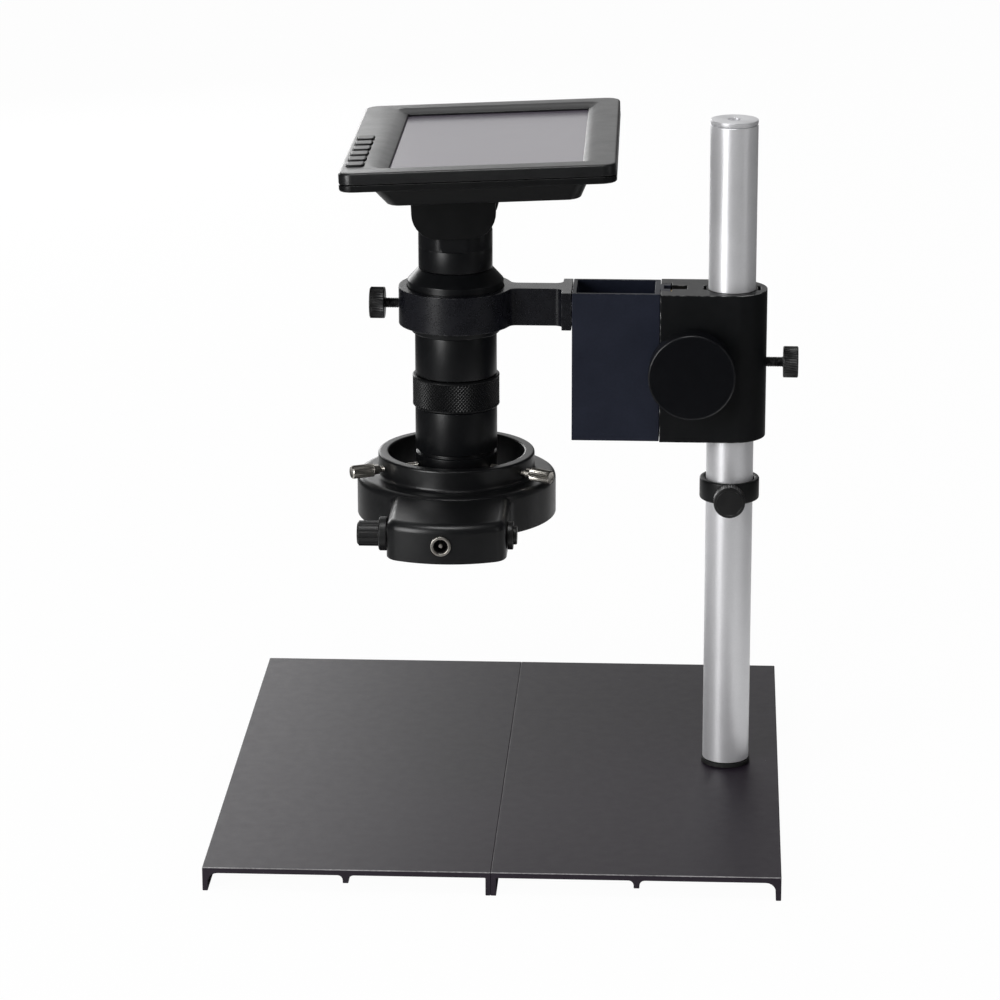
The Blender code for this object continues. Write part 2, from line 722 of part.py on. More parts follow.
def make_block():
    bottom = PLATE_TOP + BLOCK_ABOVE_BASE
    axis = (PILLAR_X, AXIS_Y, bottom)
    prism("bore_liner", split_ring(LINER_INNER, LINER_OUTER, LINER_SPLIT, 28), BLOCK_HEIGHT,
          finish("liner_nylon", WHITE, 0.5), location=axis)
    body = prism("column_block", block_outline(), BLOCK_HEIGHT, finish("block_black", BLACK, 0.4, 0.5),
                 holes=[slotted_bore()], location=axis)
    pinion_hole = rod("pinion_hole", PINION_BORE, 3 * BLOCK_HALF_DEPTH, sides=24,
                      location=(PILLAR_X - PINION_FROM_PILLAR, AXIS_Y, BLOCK_MIDDLE),
                      rotation=ALONG_MINUS_Y)
    clamp_hole = rod("clamp_screw_hole", HAND_SCREW_RADIUS + BOLT_PLAY, BLOCK_END_RADIUS,
                     location=(PILLAR_X + BLOCK_END_RADIUS, AXIS_Y, BLOCK_MIDDLE), rotation=ALONG_X)
    cut(body, pinion_hole, clamp_hole)
    hand_screw("clamp_screw", CLAMP_SCREW_REACH, LINER_OUTER + SEAT_GAP,
               finish("clamp_screw_black", BLACK, 0.45, 0.3),
               (PILLAR_X, AXIS_Y, BLOCK_MIDDLE), ALONG_X)


def pinion_outline():
    """Involute teeth, with a tooth space centred on the -X side at rest."""
    base = PINION_PITCH_RADIUS * math.cos(PRESSURE_ANGLE)
    root = PINION_PITCH_RADIUS - 1.25 * GEAR_MODULE
    involute = math.tan(PRESSURE_ANGLE) - PRESSURE_ANGLE
    half_tooth = math.pi / (2 * PINION_TEETH) - TOOTH_PLAY / 2 / PINION_PITCH_RADIUS
    flank = []
    for step in range(3):
        radius = base + (PINION_TIP_RADIUS - base) * step / 2
        roll = math.acos(min(1, base / radius))
        flank.append((radius, half_tooth + involute - (math.tan(roll) - roll)))
    flank.insert(0, (root, flank[0][1]))
    outline = []
    for tooth in range(PINION_TEETH):
        middle = math.pi + (tooth + 0.5) * 2 * math.pi / PINION_TEETH
        sides = [(r, middle - a) for r, a in flank] + [(r, middle + a) for r, a in reversed(flank)]
        outline += [(r * math.cos(a), r * math.sin(a)) for r, a in sides]
    return outline


def rack_outline():
    """Rack in its XZ section: back at x = 0, teeth towards +X, a tooth centred at mid length."""
    pitch = math.pi * GEAR_MODULE
    back = SLIDER_RIGHT + 2 * DOVETAIL_DEPTH / 5 + SEAT_GAP
    pitch_x = RACK_PITCH_X - back
    tip_x = pitch_x + RACK_ADDENDUM
    root_x = pitch_x - 1.25 * GEAR_MODULE
    slope = math.tan(PRESSURE_ANGLE)
    half_pitch_tooth = pitch / 4 - TOOTH_PLAY / 2
    half_tip = half_pitch_tooth - RACK_ADDENDUM * slope
    half_root = half_pitch_tooth + (pitch_x - root_x) * slope
    teeth = int(RACK_LENGTH / pitch / 2)
    points = [(0, -RACK_LENGTH / 2), (root_x, -RACK_LENGTH / 2)]
    for tooth in range(1 - teeth, teeth):
        z = tooth * pitch
        points += [(root_x, z - half_root), (tip_x, z - half_tip),
                   (tip_x, z + half_tip), (root_x, z + half_root)]
    points += [(root_x, RACK_LENGTH / 2), (0, RACK_LENGTH / 2)]
    return back, points


def focus_knob(name, rotation, material):
    """A flat-faced knob with a hub and a recess behind, its face at KNOB_FACE_REACH."""
    face = KNOB_FACE_REACH
    back = face - KNOB_THICKNESS
    bore = PINION_SHAFT_RADIUS + SEAT_GAP
    bore_end = back + KNOB_BORE_DEPTH
    rim_inner = KNOB_RADIUS - KNOB_RIM
    profile = [
        (0, face),
        (KNOB_RADIUS - KNOB_EDGE, face),
        (KNOB_RADIUS - KNOB_EDGE * 0.3, face - KNOB_EDGE * 0.3),
        (KNOB_RADIUS, face - KNOB_EDGE),
        (KNOB_RADIUS, back),
        (rim_inner, back),
        (rim_inner, back + KNOB_RECESS),
        (KNOB_HUB_RADIUS, back + KNOB_RECESS),
        (KNOB_HUB_RADIUS, back),
        (bore, back),
        (bore, bore_end),
        (0, bore_end),
    ]
    return turned(name, profile, material, ROUND,
                  location=(PILLAR_X - PINION_FROM_PILLAR, AXIS_Y, BLOCK_MIDDLE), rotation=rotation)


def make_focus_drive():
    steel = finish("pinion_steel", STEEL, 0.3, 1.0)
    black = finish("focus_knob_black", BLACK, 0.35, 0.3)
    axis = (PILLAR_X - PINION_FROM_PILLAR, AXIS_Y, BLOCK_MIDDLE)
    shaft_end = KNOB_FACE_REACH - KNOB_THICKNESS + KNOB_BORE_DEPTH - SEAT_GAP
    teeth = prism("pinion_shaft", pinion_outline(), PINION_LENGTH, steel,
                  location=(axis[0], AXIS_Y + PINION_LENGTH / 2, axis[2]), rotation=ALONG_MINUS_Y)
    join(teeth, rod("pinion_shaft_bar", PINION_SHAFT_RADIUS, 2 * shaft_end, sides=20,
                    location=axis, rotation=ALONG_MINUS_Y))
    focus_knob("focus_knob_front", ALONG_MINUS_Y, black)
    focus_knob("focus_knob_rear", ALONG_Y, black)


def slider_outline():
    """Plan of the slider from its left face at x = 0: a box with the dovetail tongue on its right."""
    right = SLIDER_WIDTH
    neck = DOVETAIL_NECK - RUN_GAP
    tip = DOVETAIL_TIP - RUN_GAP
    start = right + RUN_GAP
    end = right + DOVETAIL_DEPTH
    slot = RACK_HALF_DEPTH + SEAT_GAP
    floor = right + 2 * DOVETAIL_DEPTH / 5
    return [
        (0, -SLIDER_HALF_DEPTH),
        (right, -SLIDER_HALF_DEPTH),
        (right, -neck),
        (start, -neck),
        (end, -tip),
        (end, -slot),
        (floor, -slot),
        (floor, slot),
        (end, slot),
        (end, tip),
        (start, neck),
        (right, neck),
        (right, SLIDER_HALF_DEPTH),
        (0, SLIDER_HALF_DEPTH),
    ]


def make_slider():
    bottom = PLATE_TOP + BLOCK_ABOVE_BASE
    wall = SLIDER_WALL
    hollow = [(wall, wall - SLIDER_HALF_DEPTH), (SLIDER_WIDTH - wall, wall - SLIDER_HALF_DEPTH),
              (SLIDER_WIDTH - wall, SLIDER_HALF_DEPTH - wall), (wall, SLIDER_HALF_DEPTH - wall)]
    slider = prism("slider_box", slider_outline(), BLOCK_HEIGHT,
                   finish("slider_blue_black", BLUE_BLACK, 0.45, 0.6), holes=[hollow],
                   location=(SLIDER_LEFT, AXIS_Y, bottom))
    back, outline = rack_outline()
    rack = prism("gear_rack", outline, 2 * RACK_HALF_DEPTH, finish("rack_brass", BRASS, 0.35, 1.0),
                 location=(back, AXIS_Y + RACK_HALF_DEPTH, BLOCK_MIDDLE), rotation=ALONG_MINUS_Y)
    steel = finish("slider_screw_steel", STEEL, 0.35, 1.0)
    inside_right = SLIDER_RIGHT - wall
    rack_depth = RACK_PITCH_X - 1.25 * GEAR_MODULE - back
    tip = back + rack_depth / 2
    head_face = inside_right - SEAT_GAP - RACK_SCREW_HEAD
    for number, side in ((1, -1), (2, 1)):
        height = BLOCK_MIDDLE + side * RACK_SCREW_SPACING / 2
        hole_length = tip + SEAT_GAP - head_face
        hole = rod(f"rack_screw_hole_{number}", RACK_SCREW_RADIUS + BOLT_PLAY, hole_length,
                   location=(head_face + hole_length / 2, AXIS_Y, height), rotation=ALONG_X)
        cut(slider, hole)
        cut(rack, hole)
        turned(f"rack_screw_{number}",
               screw_profile(RACK_SCREW_HEAD_RADIUS, RACK_SCREW_HEAD, RACK_SCREW_RADIUS,
                             tip - head_face, RACK_SCREW_HEAD / 6),
               steel, SMALL, location=(tip, AXIS_Y, height), rotation=ALONG_MINUS_X)
    return slider


def arm_outline():
    """Plan of the arm about the lens axis: a ring, a bar and a flared foot in one extrusion."""
    foot_right = ARM_RIGHT - LENS_X
    foot_left = foot_right - ARM_FOOT
    bar = ARM_BAR_HALF_DEPTH
    join_angle = math.degrees(math.asin((bar + ARM_FILLET) / (RING_OUTER_RADIUS + ARM_FILLET)))
    fillet_x = (RING_OUTER_RADIUS + ARM_FILLET) * math.cos(math.radians(join_angle))
    fillet_y = bar + ARM_FILLET
    upper = [
        *arc((foot_left - ARM_FILLET, fillet_y), ARM_FILLET, 0, -90, 4),
        *arc((fillet_x, fillet_y), ARM_FILLET, 270, 180 + join_angle, 4),
    ]
    lower = [(x, -y) for x, y in reversed(upper)]
    return [
        (foot_right, -SLIDER_HALF_DEPTH),
        (foot_right, SLIDER_HALF_DEPTH),
        (foot_left, SLIDER_HALF_DEPTH),
        *upper,
        *arc((0, 0), RING_OUTER_RADIUS, join_angle, 360 - join_angle, 36)[1:-1],
        *lower,
        (foot_left, -SLIDER_HALF_DEPTH),
    ]


def make_arm(slider):
    arm = prism("lens_arm", arm_outline(), ARM_HEIGHT, finish("arm_black", BLACK, 0.4, 0.5),
                holes=[circle(RING_BORE, ROUND)], location=(LENS_X, AXIS_Y, ARM_BOTTOM))
    middle = ARM_BOTTOM + ARM_HEIGHT / 2
    cut(arm, rod("ring_screw_hole", HAND_SCREW_RADIUS + BOLT_PLAY, RING_OUTER_RADIUS,
                 location=(LENS_X - RING_OUTER_RADIUS, AXIS_Y, middle), rotation=ALONG_X))
    steel = finish("arm_screw_steel", STEEL, 0.35, 1.0)
    tip = ARM_RIGHT - ARM_FOOT * 0.8
    head_face = SLIDER_LEFT + SLIDER_WALL + SEAT_GAP + ARM_SCREW_HEAD
    from_middle = SLIDER_HALF_DEPTH - SLIDER_WALL - ARM_SCREW_HEAD_RADIUS - ARM_SCREW_FROM_WALL
    for number, side in ((1, -1), (2, 1)):
        screw_y = AXIS_Y + side * from_middle
        hole_length = head_face - tip + SEAT_GAP
        hole = rod(f"arm_screw_hole_{number}", ARM_SCREW_RADIUS + BOLT_PLAY, hole_length,
                   location=(head_face - hole_length / 2, screw_y, middle), rotation=ALONG_X)
        cut(slider, hole)
        cut(arm, hole)
        turned(f"arm_screw_{number}",
               screw_profile(ARM_SCREW_HEAD_RADIUS, ARM_SCREW_HEAD, ARM_SCREW_RADIUS,
                             head_face - tip, ARM_SCREW_HEAD / 8),
               steel, SMALL, location=(tip, screw_y, middle), rotation=ALONG_X)
    hand_screw("ring_screw", RING_SCREW_REACH, ADAPTER_RADIUS + SEAT_GAP,
               finish("ring_screw_black", BLACK, 0.45, 0.3), (LENS_X, AXIS_Y, middle), ALONG_MINUS_X)


def tube_profile(outer, inner, top, bottom, chamfer=BARREL_CHAMFER):
    """Ring profile of a plain tube with chamfered outer corners."""
    return [
        (inner, top),
        (outer - chamfer, top),
        (outer, top - chamfer),
        (outer, bottom + chamfer),
        (outer - chamfer, bottom),
        (inner, bottom),
    ]


def lens_profile(radius, middle, edge, crown, steps=3):
    """Biconvex lens: two shallow domes over a straight edge."""
    dome = [(radius * i / steps, crown * (1 - (i / steps) ** 2)) for i in range(steps + 1)]
    upper = [(r, middle + edge / 2 + h) for r, h in dome]
    lower = [(r, middle - edge / 2 - h) for r, h in reversed(dome)]
    return upper + lower


def make_lens():
    black = finish("lens_black", BLACK, 0.38, 0.4)
    glass = finish("lens_glass", LENS_GLASS, 0.05)
    where = {"location": (LENS_X, AXIS_Y, 0)}
    adapter_top = PLATE_TOP + ADAPTER_TOP
    cone_foot = adapter_top - CONE_HEIGHT
    lip_top = ADAPTER_BOTTOM + ADAPTER_LIP
    turned("lens_adapter",
           [(LENS_BORE, adapter_top), (CAMERA_RADIUS, adapter_top), (ADAPTER_RADIUS, cone_foot),
            (ADAPTER_RADIUS, lip_top), (ADAPTER_LIP_RADIUS, lip_top),
            (ADAPTER_LIP_RADIUS, ADAPTER_BOTTOM), (LENS_BORE, ADAPTER_BOTTOM)],
           black, ring=True, **where)
    turned("lens_barrel_upper",
           tube_profile(UPPER_BARREL_RADIUS, LENS_BORE, UPPER_BARREL_TOP,
                        UPPER_BARREL_TOP - UPPER_BARREL_LENGTH), black, ring=True, **where)
    turned("zoom_ring",
           tube_profile(ZOOM_RING_RADIUS, LENS_BORE, ZOOM_RING_TOP, ZOOM_RING_TOP - ZOOM_RING_LENGTH),
           finish("zoom_ring_black", BLACK, 0.5, 0.4), ring=True, **where)
    turned("lens_barrel_lower",
           tube_profile(LOWER_BARREL_RADIUS, LENS_BORE, LOWER_BARREL_TOP,
                        LOWER_BARREL_TOP - LOWER_BARREL_LENGTH), black, ring=True, **where)
    core_inner = CORE_RADIUS - CORE_WALL
    lens_middle = FRONT_CELL_BOTTOM + LENS_SETBACK + LENS_CROWN + LENS_EDGE / 2
    seat_bottom = lens_middle + LENS_EDGE / 2 + LENS_CROWN
    seat_top = seat_bottom + LENS_SEAT
    turned("lens_core",
           [(core_inner, PLATE_TOP + CORE_TOP), (CORE_RADIUS, PLATE_TOP + CORE_TOP),
            (CORE_RADIUS, seat_top + SEAT_GAP), (core_inner, seat_top + SEAT_GAP)],
           black, ring=True, **where)
    front_bore = FRONT_LENS_RADIUS + SEAT_GAP
    neck = FRONT_CELL_RADIUS - FRONT_CELL_GROOVE_DEPTH
    groove_bottom = FRONT_CELL_TOP - FRONT_CELL_GROOVE
    turned("front_cell",
           [(LENS_BORE, FRONT_CELL_TOP), (neck, FRONT_CELL_TOP), (neck, groove_bottom),
            (FRONT_CELL_RADIUS, groove_bottom), (FRONT_CELL_RADIUS, FRONT_CELL_BOTTOM + BARREL_CHAMFER),
            (FRONT_CELL_RADIUS - BARREL_CHAMFER, FRONT_CELL_BOTTOM), (front_bore, FRONT_CELL_BOTTOM),
            (front_bore, seat_bottom), (core_inner, seat_bottom), (core_inner, seat_top),
            (LENS_BORE, seat_top)], black, ring=True, **where)
    turned("front_lens", lens_profile(FRONT_LENS_RADIUS, lens_middle, LENS_EDGE, LENS_CROWN),
           glass, **where)
    inner_radius = core_inner - SEAT_GAP
    for name, height in (("zoom_lens", ZOOM_LENS_HEIGHT), ("rear_lens", REAR_LENS_HEIGHT)):
        turned(name, lens_profile(inner_radius, PLATE_TOP + height, LENS_EDGE, LENS_CROWN),
               glass, MEDIUM, **where)


def make_camera(seat):
    black = finish("camera_black", BLACK, 0.38, 0.4)
    steel = finish("hinge_pin_steel", STEEL, 0.3, 1.0)
    where = {"location": (LENS_X, AXIS_Y, 0)}
    bore = CAMERA_RADIUS - CAMERA_WALL
    tube_top = PLATE_TOP + CAMERA_TUBE_TOP
    turned("camera_tube",
           tube_profile(CAMERA_RADIUS, bore, tube_top, PLATE_TOP + ADAPTER_TOP + SEAT_GAP, BARREL_CHAMFER / 2),
           black, ring=True, **where)
    board_top = PLATE_TOP + SENSOR_HEIGHT
    board = turned("sensor_board",
                   [(0, board_top), (bore - SEAT_GAP, board_top),
                    (bore - SEAT_GAP, board_top - SENSOR_BOARD), (0, board_top - SENSOR_BOARD)],
                   finish("sensor_board_green", BOARD_GREEN, 0.5), MEDIUM, **where)
    sensor_height = SENSOR_THICKNESS + SENSOR_BOARD / 2
    join(board, block("image_sensor", (SENSOR_SIDE, SENSOR_SIDE, sensor_height), None,
                      location=(LENS_X, AXIS_Y, board_top - SENSOR_BOARD / 2 - sensor_height / 2)))
    head_bottom = tube_top + SEAT_GAP
    head_top = PLATE_TOP + CAMERA_HEAD_TOP
    head = turned("camera_head",
                  [(0, head_top), (CAMERA_RADIUS - CAMERA_HEAD_CHAMFER, head_top),
                   (CAMERA_RADIUS, head_top - CAMERA_HEAD_CHAMFER),
                   (CAMERA_RADIUS, head_bottom), (0, head_bottom)], black, **where)
    for number, side in ((1, -1), (2, 1)):
        cut(head, block(f"camera_flat_{number}", (4 * CAMERA_RADIUS, CAMERA_RADIUS, 4 * CAMERA_RADIUS), None,
                        location=(0, side * (LUG_HALF_DEPTH + CAMERA_RADIUS / 2), 0), parent=seat))
    drop = HINGE_Z - head_top + CAMERA_HEAD_CHAMFER
    lug = prism("hinge_lug", [*arc((0, 0), LUG_RADIUS, 0, 180, 16), (-LUG_RADIUS, -drop), (LUG_RADIUS, -drop)],
                2 * LUG_HALF_DEPTH, None, location=(0, LUG_HALF_DEPTH, 0), rotation=ALONG_MINUS_Y, parent=seat)
    join(head, lug)
    pin_half = CHEEK_INNER + CHEEK_PIN_DEPTH - SEAT_GAP
    cut(head, rod("lug_pin_hole", HINGE_PIN_RADIUS + RUN_GAP, 4 * LUG_HALF_DEPTH, sides=20,
                  rotation=ALONG_MINUS_Y, parent=seat))
    rod("hinge_pin", HINGE_PIN_RADIUS, 2 * pin_half, steel, sides=20, rotation=ALONG_MINUS_Y, parent=seat)


def make_bracket(screen):
    """The U bracket: a D-shaped block with the space for the hinge lug cut through it."""
    half = CHEEK_HALF_WIDTH
    corner = CHEEK_CORNER
    low = corner - CHEEK_DROP
    outline = [
        (half, BRACKET_TOP),
        (-half, BRACKET_TOP),
        *arc((corner - half, low), corner, 180, 270, 8),
        *arc((half - corner, low), corner, 270, 360, 8),
    ]
    bracket = prism("tilt_bracket", outline, 2 * CHEEK_OUTER, finish("bracket_black", BLACK, 0.45),
                    location=(0, CHEEK_OUTER, 0), rotation=ALONG_MINUS_Y, parent=screen)
    reach = 4 * half
    under_plate = BRACKET_TOP - BRACKET_PLATE
    pin_depth = 2 * (CHEEK_INNER + CHEEK_PIN_DEPTH)
    cut(bracket,
        block("bracket_space", (reach, 2 * CHEEK_INNER, reach), None,
              location=(0, 0, under_plate - reach / 2), parent=screen),
        rod("bracket_pin_holes", HINGE_PIN_RADIUS + RUN_GAP, pin_depth, sides=20,
            rotation=ALONG_MINUS_Y, parent=screen))


def screen_rectangle(inset, corner, extra_left=0.0, extra_right=0.0, extra_end=0.0):
    """The screen's outline drawn in by an inset, and further at any one side."""
    half_depth = SCREEN_DEPTH / 2 - inset - extra_end
    left = SCREEN_CENTRE_X - SCREEN_WIDTH / 2 + inset + extra_left
    right = SCREEN_CENTRE_X + SCREEN_WIDTH / 2 - inset - extra_right
    return rounded_rectangle(left, right, -half_depth, half_depth, corner)


def lcd_rectangle(width, depth, corner):
    return rounded_rectangle(LCD_CENTRE_X - width / 2, LCD_CENTRE_X + width / 2,
                             -depth / 2, depth / 2, corner)


def make_screen(screen):
    face = SCREEN_FACE
    plastic = finish("screen_plastic", BLACK, 0.4)
    back_of_frame = face - FRAME_THICKNESS
    panel = {"width": LCD_PANEL_WIDTH + 2 * SEAT_GAP, "depth": LCD_PANEL_DEPTH + 2 * SEAT_GAP}
    slope = {"width": LCD_VIEW_WIDTH + 2 * BEZEL_SLOPE_WIDTH,
             "depth": LCD_VIEW_DEPTH + 2 * BEZEL_SLOPE_WIDTH}
    frame = lofted("screen_front_frame", [
        at_height(screen_rectangle(0, SCREEN_CORNER), back_of_frame),
        at_height(screen_rectangle(0, SCREEN_CORNER), face - SCREEN_EDGE),
        at_height(screen_rectangle(SCREEN_EDGE * 0.3, SCREEN_CORNER), face - SCREEN_EDGE * 0.3),
        at_height(screen_rectangle(SCREEN_EDGE, SCREEN_CORNER), face),
        at_height(lcd_rectangle(**slope, corner=SLOPE_CORNER), face),
        at_height(lcd_rectangle(LCD_VIEW_WIDTH, LCD_VIEW_DEPTH, VIEW_CORNER), face - BEZEL_SLOPE_DEPTH),
        at_height(lcd_rectangle(LCD_VIEW_WIDTH, LCD_VIEW_DEPTH, VIEW_CORNER), face - LCD_LIP_DEPTH),
        at_height(lcd_rectangle(**panel, corner=VIEW_CORNER), face - LCD_LIP_DEPTH),
        at_height(lcd_rectangle(**panel, corner=VIEW_CORNER), back_of_frame),
    ], plastic, ring=True, parent=screen)
    panel_top = face - LCD_LIP_DEPTH - SEAT_GAP
    block("lcd_panel", (LCD_PANEL_WIDTH, LCD_PANEL_DEPTH, LCD_PANEL_THICKNESS),
          finish("lcd_glass", SCREEN_GREY, 0.1),
          location=(LCD_CENTRE_X, 0, panel_top - LCD_PANEL_THICKNESS / 2), parent=screen)
    rim = {"extra_left": HUMP_BACK_LEFT - HUMP_RIM_INSET, "extra_right": HUMP_BACK_RIGHT - HUMP_RIM_INSET,
           "extra_end": HUMP_BACK_END - HUMP_RIM_INSET}
    wall = SHELL_WALL
    band = face - BAND_THICKNESS
    edge = SCREEN_EDGE / 2
    lofted("screen_rear_shell", [
        at_height(screen_rectangle(HUMP_RIM_INSET + wall, SCREEN_CORNER, **rim), SCREEN_BACK + wall),
        at_height(screen_rectangle(HUMP_RIM_INSET + wall, SCREEN_CORNER), band + wall),
        at_height(screen_rectangle(wall, SCREEN_CORNER), band + wall),
        at_height(screen_rectangle(wall, SCREEN_CORNER), face - SHELL_TOP),
        at_height(screen_rectangle(0, SCREEN_CORNER), face - SHELL_TOP),
        at_height(screen_rectangle(0, SCREEN_CORNER), band + edge),
        at_height(screen_rectangle(edge, SCREEN_CORNER), band),
        at_height(screen_rectangle(HUMP_RIM_INSET, SCREEN_CORNER), band),
        at_height(screen_rectangle(HUMP_RIM_INSET - edge, SCREEN_CORNER, **rim), SCREEN_BACK + edge),
        at_height(screen_rectangle(HUMP_RIM_INSET + edge / 2, SCREEN_CORNER, **rim), SCREEN_BACK),
    ], plastic, parent=screen)
    board_top = band - MAIN_BOARD_THICKNESS
    board = block("main_board", (MAIN_BOARD_WIDTH, MAIN_BOARD_DEPTH, MAIN_BOARD_THICKNESS),
                  finish("main_board_green", BOARD_GREEN, 0.5),
                  location=(LCD_CENTRE_X, 0, board_top - MAIN_BOARD_THICKNESS / 2), parent=screen)
    spreader = HEAT_SPREADER_THICKNESS + MAIN_BOARD_THICKNESS / 2
    join(board, block("heat_spreader", (HEAT_SPREADER_SIDE, HEAT_SPREADER_SIDE, spreader), None,
                      location=(LCD_CENTRE_X, 0, board_top - MAIN_BOARD_THICKNESS / 2 - spreader / 2),
                      parent=screen))
    make_buttons(screen, frame)


def button_rectangle(grow):
    half_width = BUTTON_WIDTH / 2 + grow
    half_depth = BUTTON_DEPTH / 2 + grow
    return rounded_rectangle(-half_width, half_width, -half_depth, half_depth, BUTTON_CORNER + grow, 2)


def button_shape(name, grow, top, shoulder, bottom, crown, material, **where):
    """A cap over a wider flange, used for the button and, with more room, for its opening."""
    return lofted(name, [
        at_height(button_rectangle(grow - crown), top),
        at_height(button_rectangle(grow), top - crown),
        at_height(button_rectangle(grow), shoulder),
        at_height(button_rectangle(grow + BUTTON_FLANGE), shoulder),
        at_height(button_rectangle(grow + BUTTON_FLANGE), bottom),
    ], material, **where)


def make_buttons(screen, frame):
    rubber = finish("button_black", BLACK, 0.5)
    x = SCREEN_CENTRE_X - SCREEN_WIDTH / 2 + BUTTON_FROM_LEFT
    shoulder = -BUTTON_CAP_DEPTH
    bottom = shoulder - BUTTON_FLANGE_THICKNESS
    for number in range(BUTTON_COUNT):
        y = BUTTON_FROM_NEAR - SCREEN_DEPTH / 2 + number * BUTTON_PITCH
        where = {"location": (x, y, SCREEN_FACE), "parent": screen}
        button_shape(f"button_{number + 1}", 0, BUTTON_PROUD, shoulder, bottom, BUTTON_PROUD / 3,
                     rubber, **where)
        cut(frame, button_shape(f"button_opening_{number + 1}", RUN_GAP, BUTTON_PROUD,
                                shoulder + RUN_GAP, -2 * FRAME_THICKNESS, 0, None, **where))


def light_profile():
    """Section of the ring light's body, with the round opening and its upstanding collar."""
    shoulder = PLATE_TOP + LIGHT_SHOULDER
    top = PLATE_TOP + LIGHT_COLLAR_TOP
    bottom = PLATE_TOP + LIGHT_BOTTOM
    soft = LIGHT_SHOULDER_ROUND
    edge = LIGHT_COLLAR_ROUND
    fillet = LIGHT_COLLAR_FILLET
    return [
        (LIGHT_OPENING_RADIUS, top - edge),
        (LIGHT_OPENING_RADIUS + edge, top),
        (LIGHT_COLLAR_RADIUS - edge, top),
        (LIGHT_COLLAR_RADIUS, top - edge),
        *arc((LIGHT_COLLAR_RADIUS + fillet, shoulder + fillet), fillet, 180, 270, 3),
        *arc((LIGHT_RADIUS - soft, shoulder - soft), soft, 90, 0, 5),
        (LIGHT_RADIUS, bottom),
        (LIGHT_OPENING_RADIUS, bottom),
    ]


def control_box_outline(inset):
    """Plan of the control box about the lens axis: an arc in front, filleted into the ring behind."""
    side = BOX_HALF_WIDTH - inset
    front = BOX_FRONT_RADIUS - inset
    corner = BOX_CORNER - inset
    fillet = BOX_FILLET + inset
    ring = LIGHT_RADIUS - inset
    corner_x = side - corner
    corner_y = -math.sqrt((front - corner) ** 2 - corner_x ** 2)
    corner_end = math.degrees(math.atan2(corner_y, corner_x))
    fillet_x = side + fillet
    fillet_y = -math.sqrt((ring + fillet) ** 2 - fillet_x ** 2)
    fillet_end = math.degrees(math.atan2(-fillet_y, -fillet_x))
    right = [
        *arc((corner_x, corner_y), corner, corner_end, 0, 5),
        *arc((fillet_x, fillet_y), fillet, 180, fillet_end, 4),
    ]
    left = [(-x, y) for x, y in reversed(right)]
    behind = (LIGHT_RADIUS + LIGHT_OPENING_RADIUS) / 2
    back_spread = 90 - math.degrees(math.atan2(-fillet_y, fillet_x))
    back_arc = arc((0, 0), behind, -90 + back_spread, -90 - back_spread, 8)
    spread = 90 + corner_end
    front_arc = arc((0, 0), front, -90 - spread, -90 + spread, 10)[1:-1]
    return front_arc + right + back_arc + left


def make_light(light):
    black = finish("light_plastic", BLACK, 0.42)
    bottom = PLATE_TOP + LIGHT_BOTTOM
    shoulder = PLATE_TOP + LIGHT_SHOULDER
    box_top = PLATE_TOP + BOX_TOP
    cavity_top = shoulder - LIGHT_WALL
    round_off = BOX_TOP_ROUND
    housing = turned("light_housing", light_profile(), black, FINE, ring=True, parent=light)
    join(housing, lofted("control_box", [
        at_height(control_box_outline(round_off), box_top),
        at_height(control_box_outline(round_off * 0.3), box_top - round_off * 0.3),
        at_height(control_box_outline(0), box_top - round_off),
        at_height(control_box_outline(0), bottom),
    ], None, parent=light))
    ring_cavity = turned("ring_cavity",
                         [(OPENING_INNER, cavity_top), (LIGHT_CAVITY, cavity_top),
                          (LIGHT_CAVITY, bottom - LIGHT_WALL), (OPENING_INNER, bottom - LIGHT_WALL)],
                         None, FINE, ring=True, parent=light)
    cavity_outline = box_cavity_outline(BOX_WALL)
    cavity_height = box_top - BOX_WALL - bottom
    box_cavity = prism("box_cavity", cavity_outline, cavity_height + BOX_WALL, None,
                       location=(0, 0, bottom - BOX_WALL), parent=light)
    cut(housing, ring_cavity, box_cavity)
    prism("control_box_cover", box_cavity_outline(BOX_WALL + SEAT_GAP), BOX_COVER_THICKNESS, black,
          location=(0, 0, bottom + SEAT_GAP), parent=light)
    make_light_insides(light, bottom)
    make_box_parts(light, housing)
    make_light_screws(light, housing)


def box_cavity_outline(inset):
    """Plan of the space inside the control box, closed behind by the ring's own wall."""
    side = BOX_HALF_WIDTH - inset
    front = BOX_FRONT_RADIUS - inset
    corner = BOX_CORNER - BOX_WALL
    behind = LIGHT_RADIUS + inset - BOX_WALL
    corner_x = side - corner
    corner_y = -math.sqrt((front - corner) ** 2 - corner_x ** 2)
    corner_end = math.degrees(math.atan2(corner_y, corner_x))
    right = arc((corner_x, corner_y), corner, corner_end, 0, 4)
    left = [(-x, y) for x, y in reversed(right)]
    spread = 90 + corner_end
    back_spread = math.degrees(math.asin(side / behind))
    front_arc = arc((0, 0), front, -90 - spread, -90 + spread, 10)[1:-1]
    back_arc = arc((0, 0), behind, -90 + back_spread, -90 - back_spread, 8)
    return front_arc + right + back_arc + left


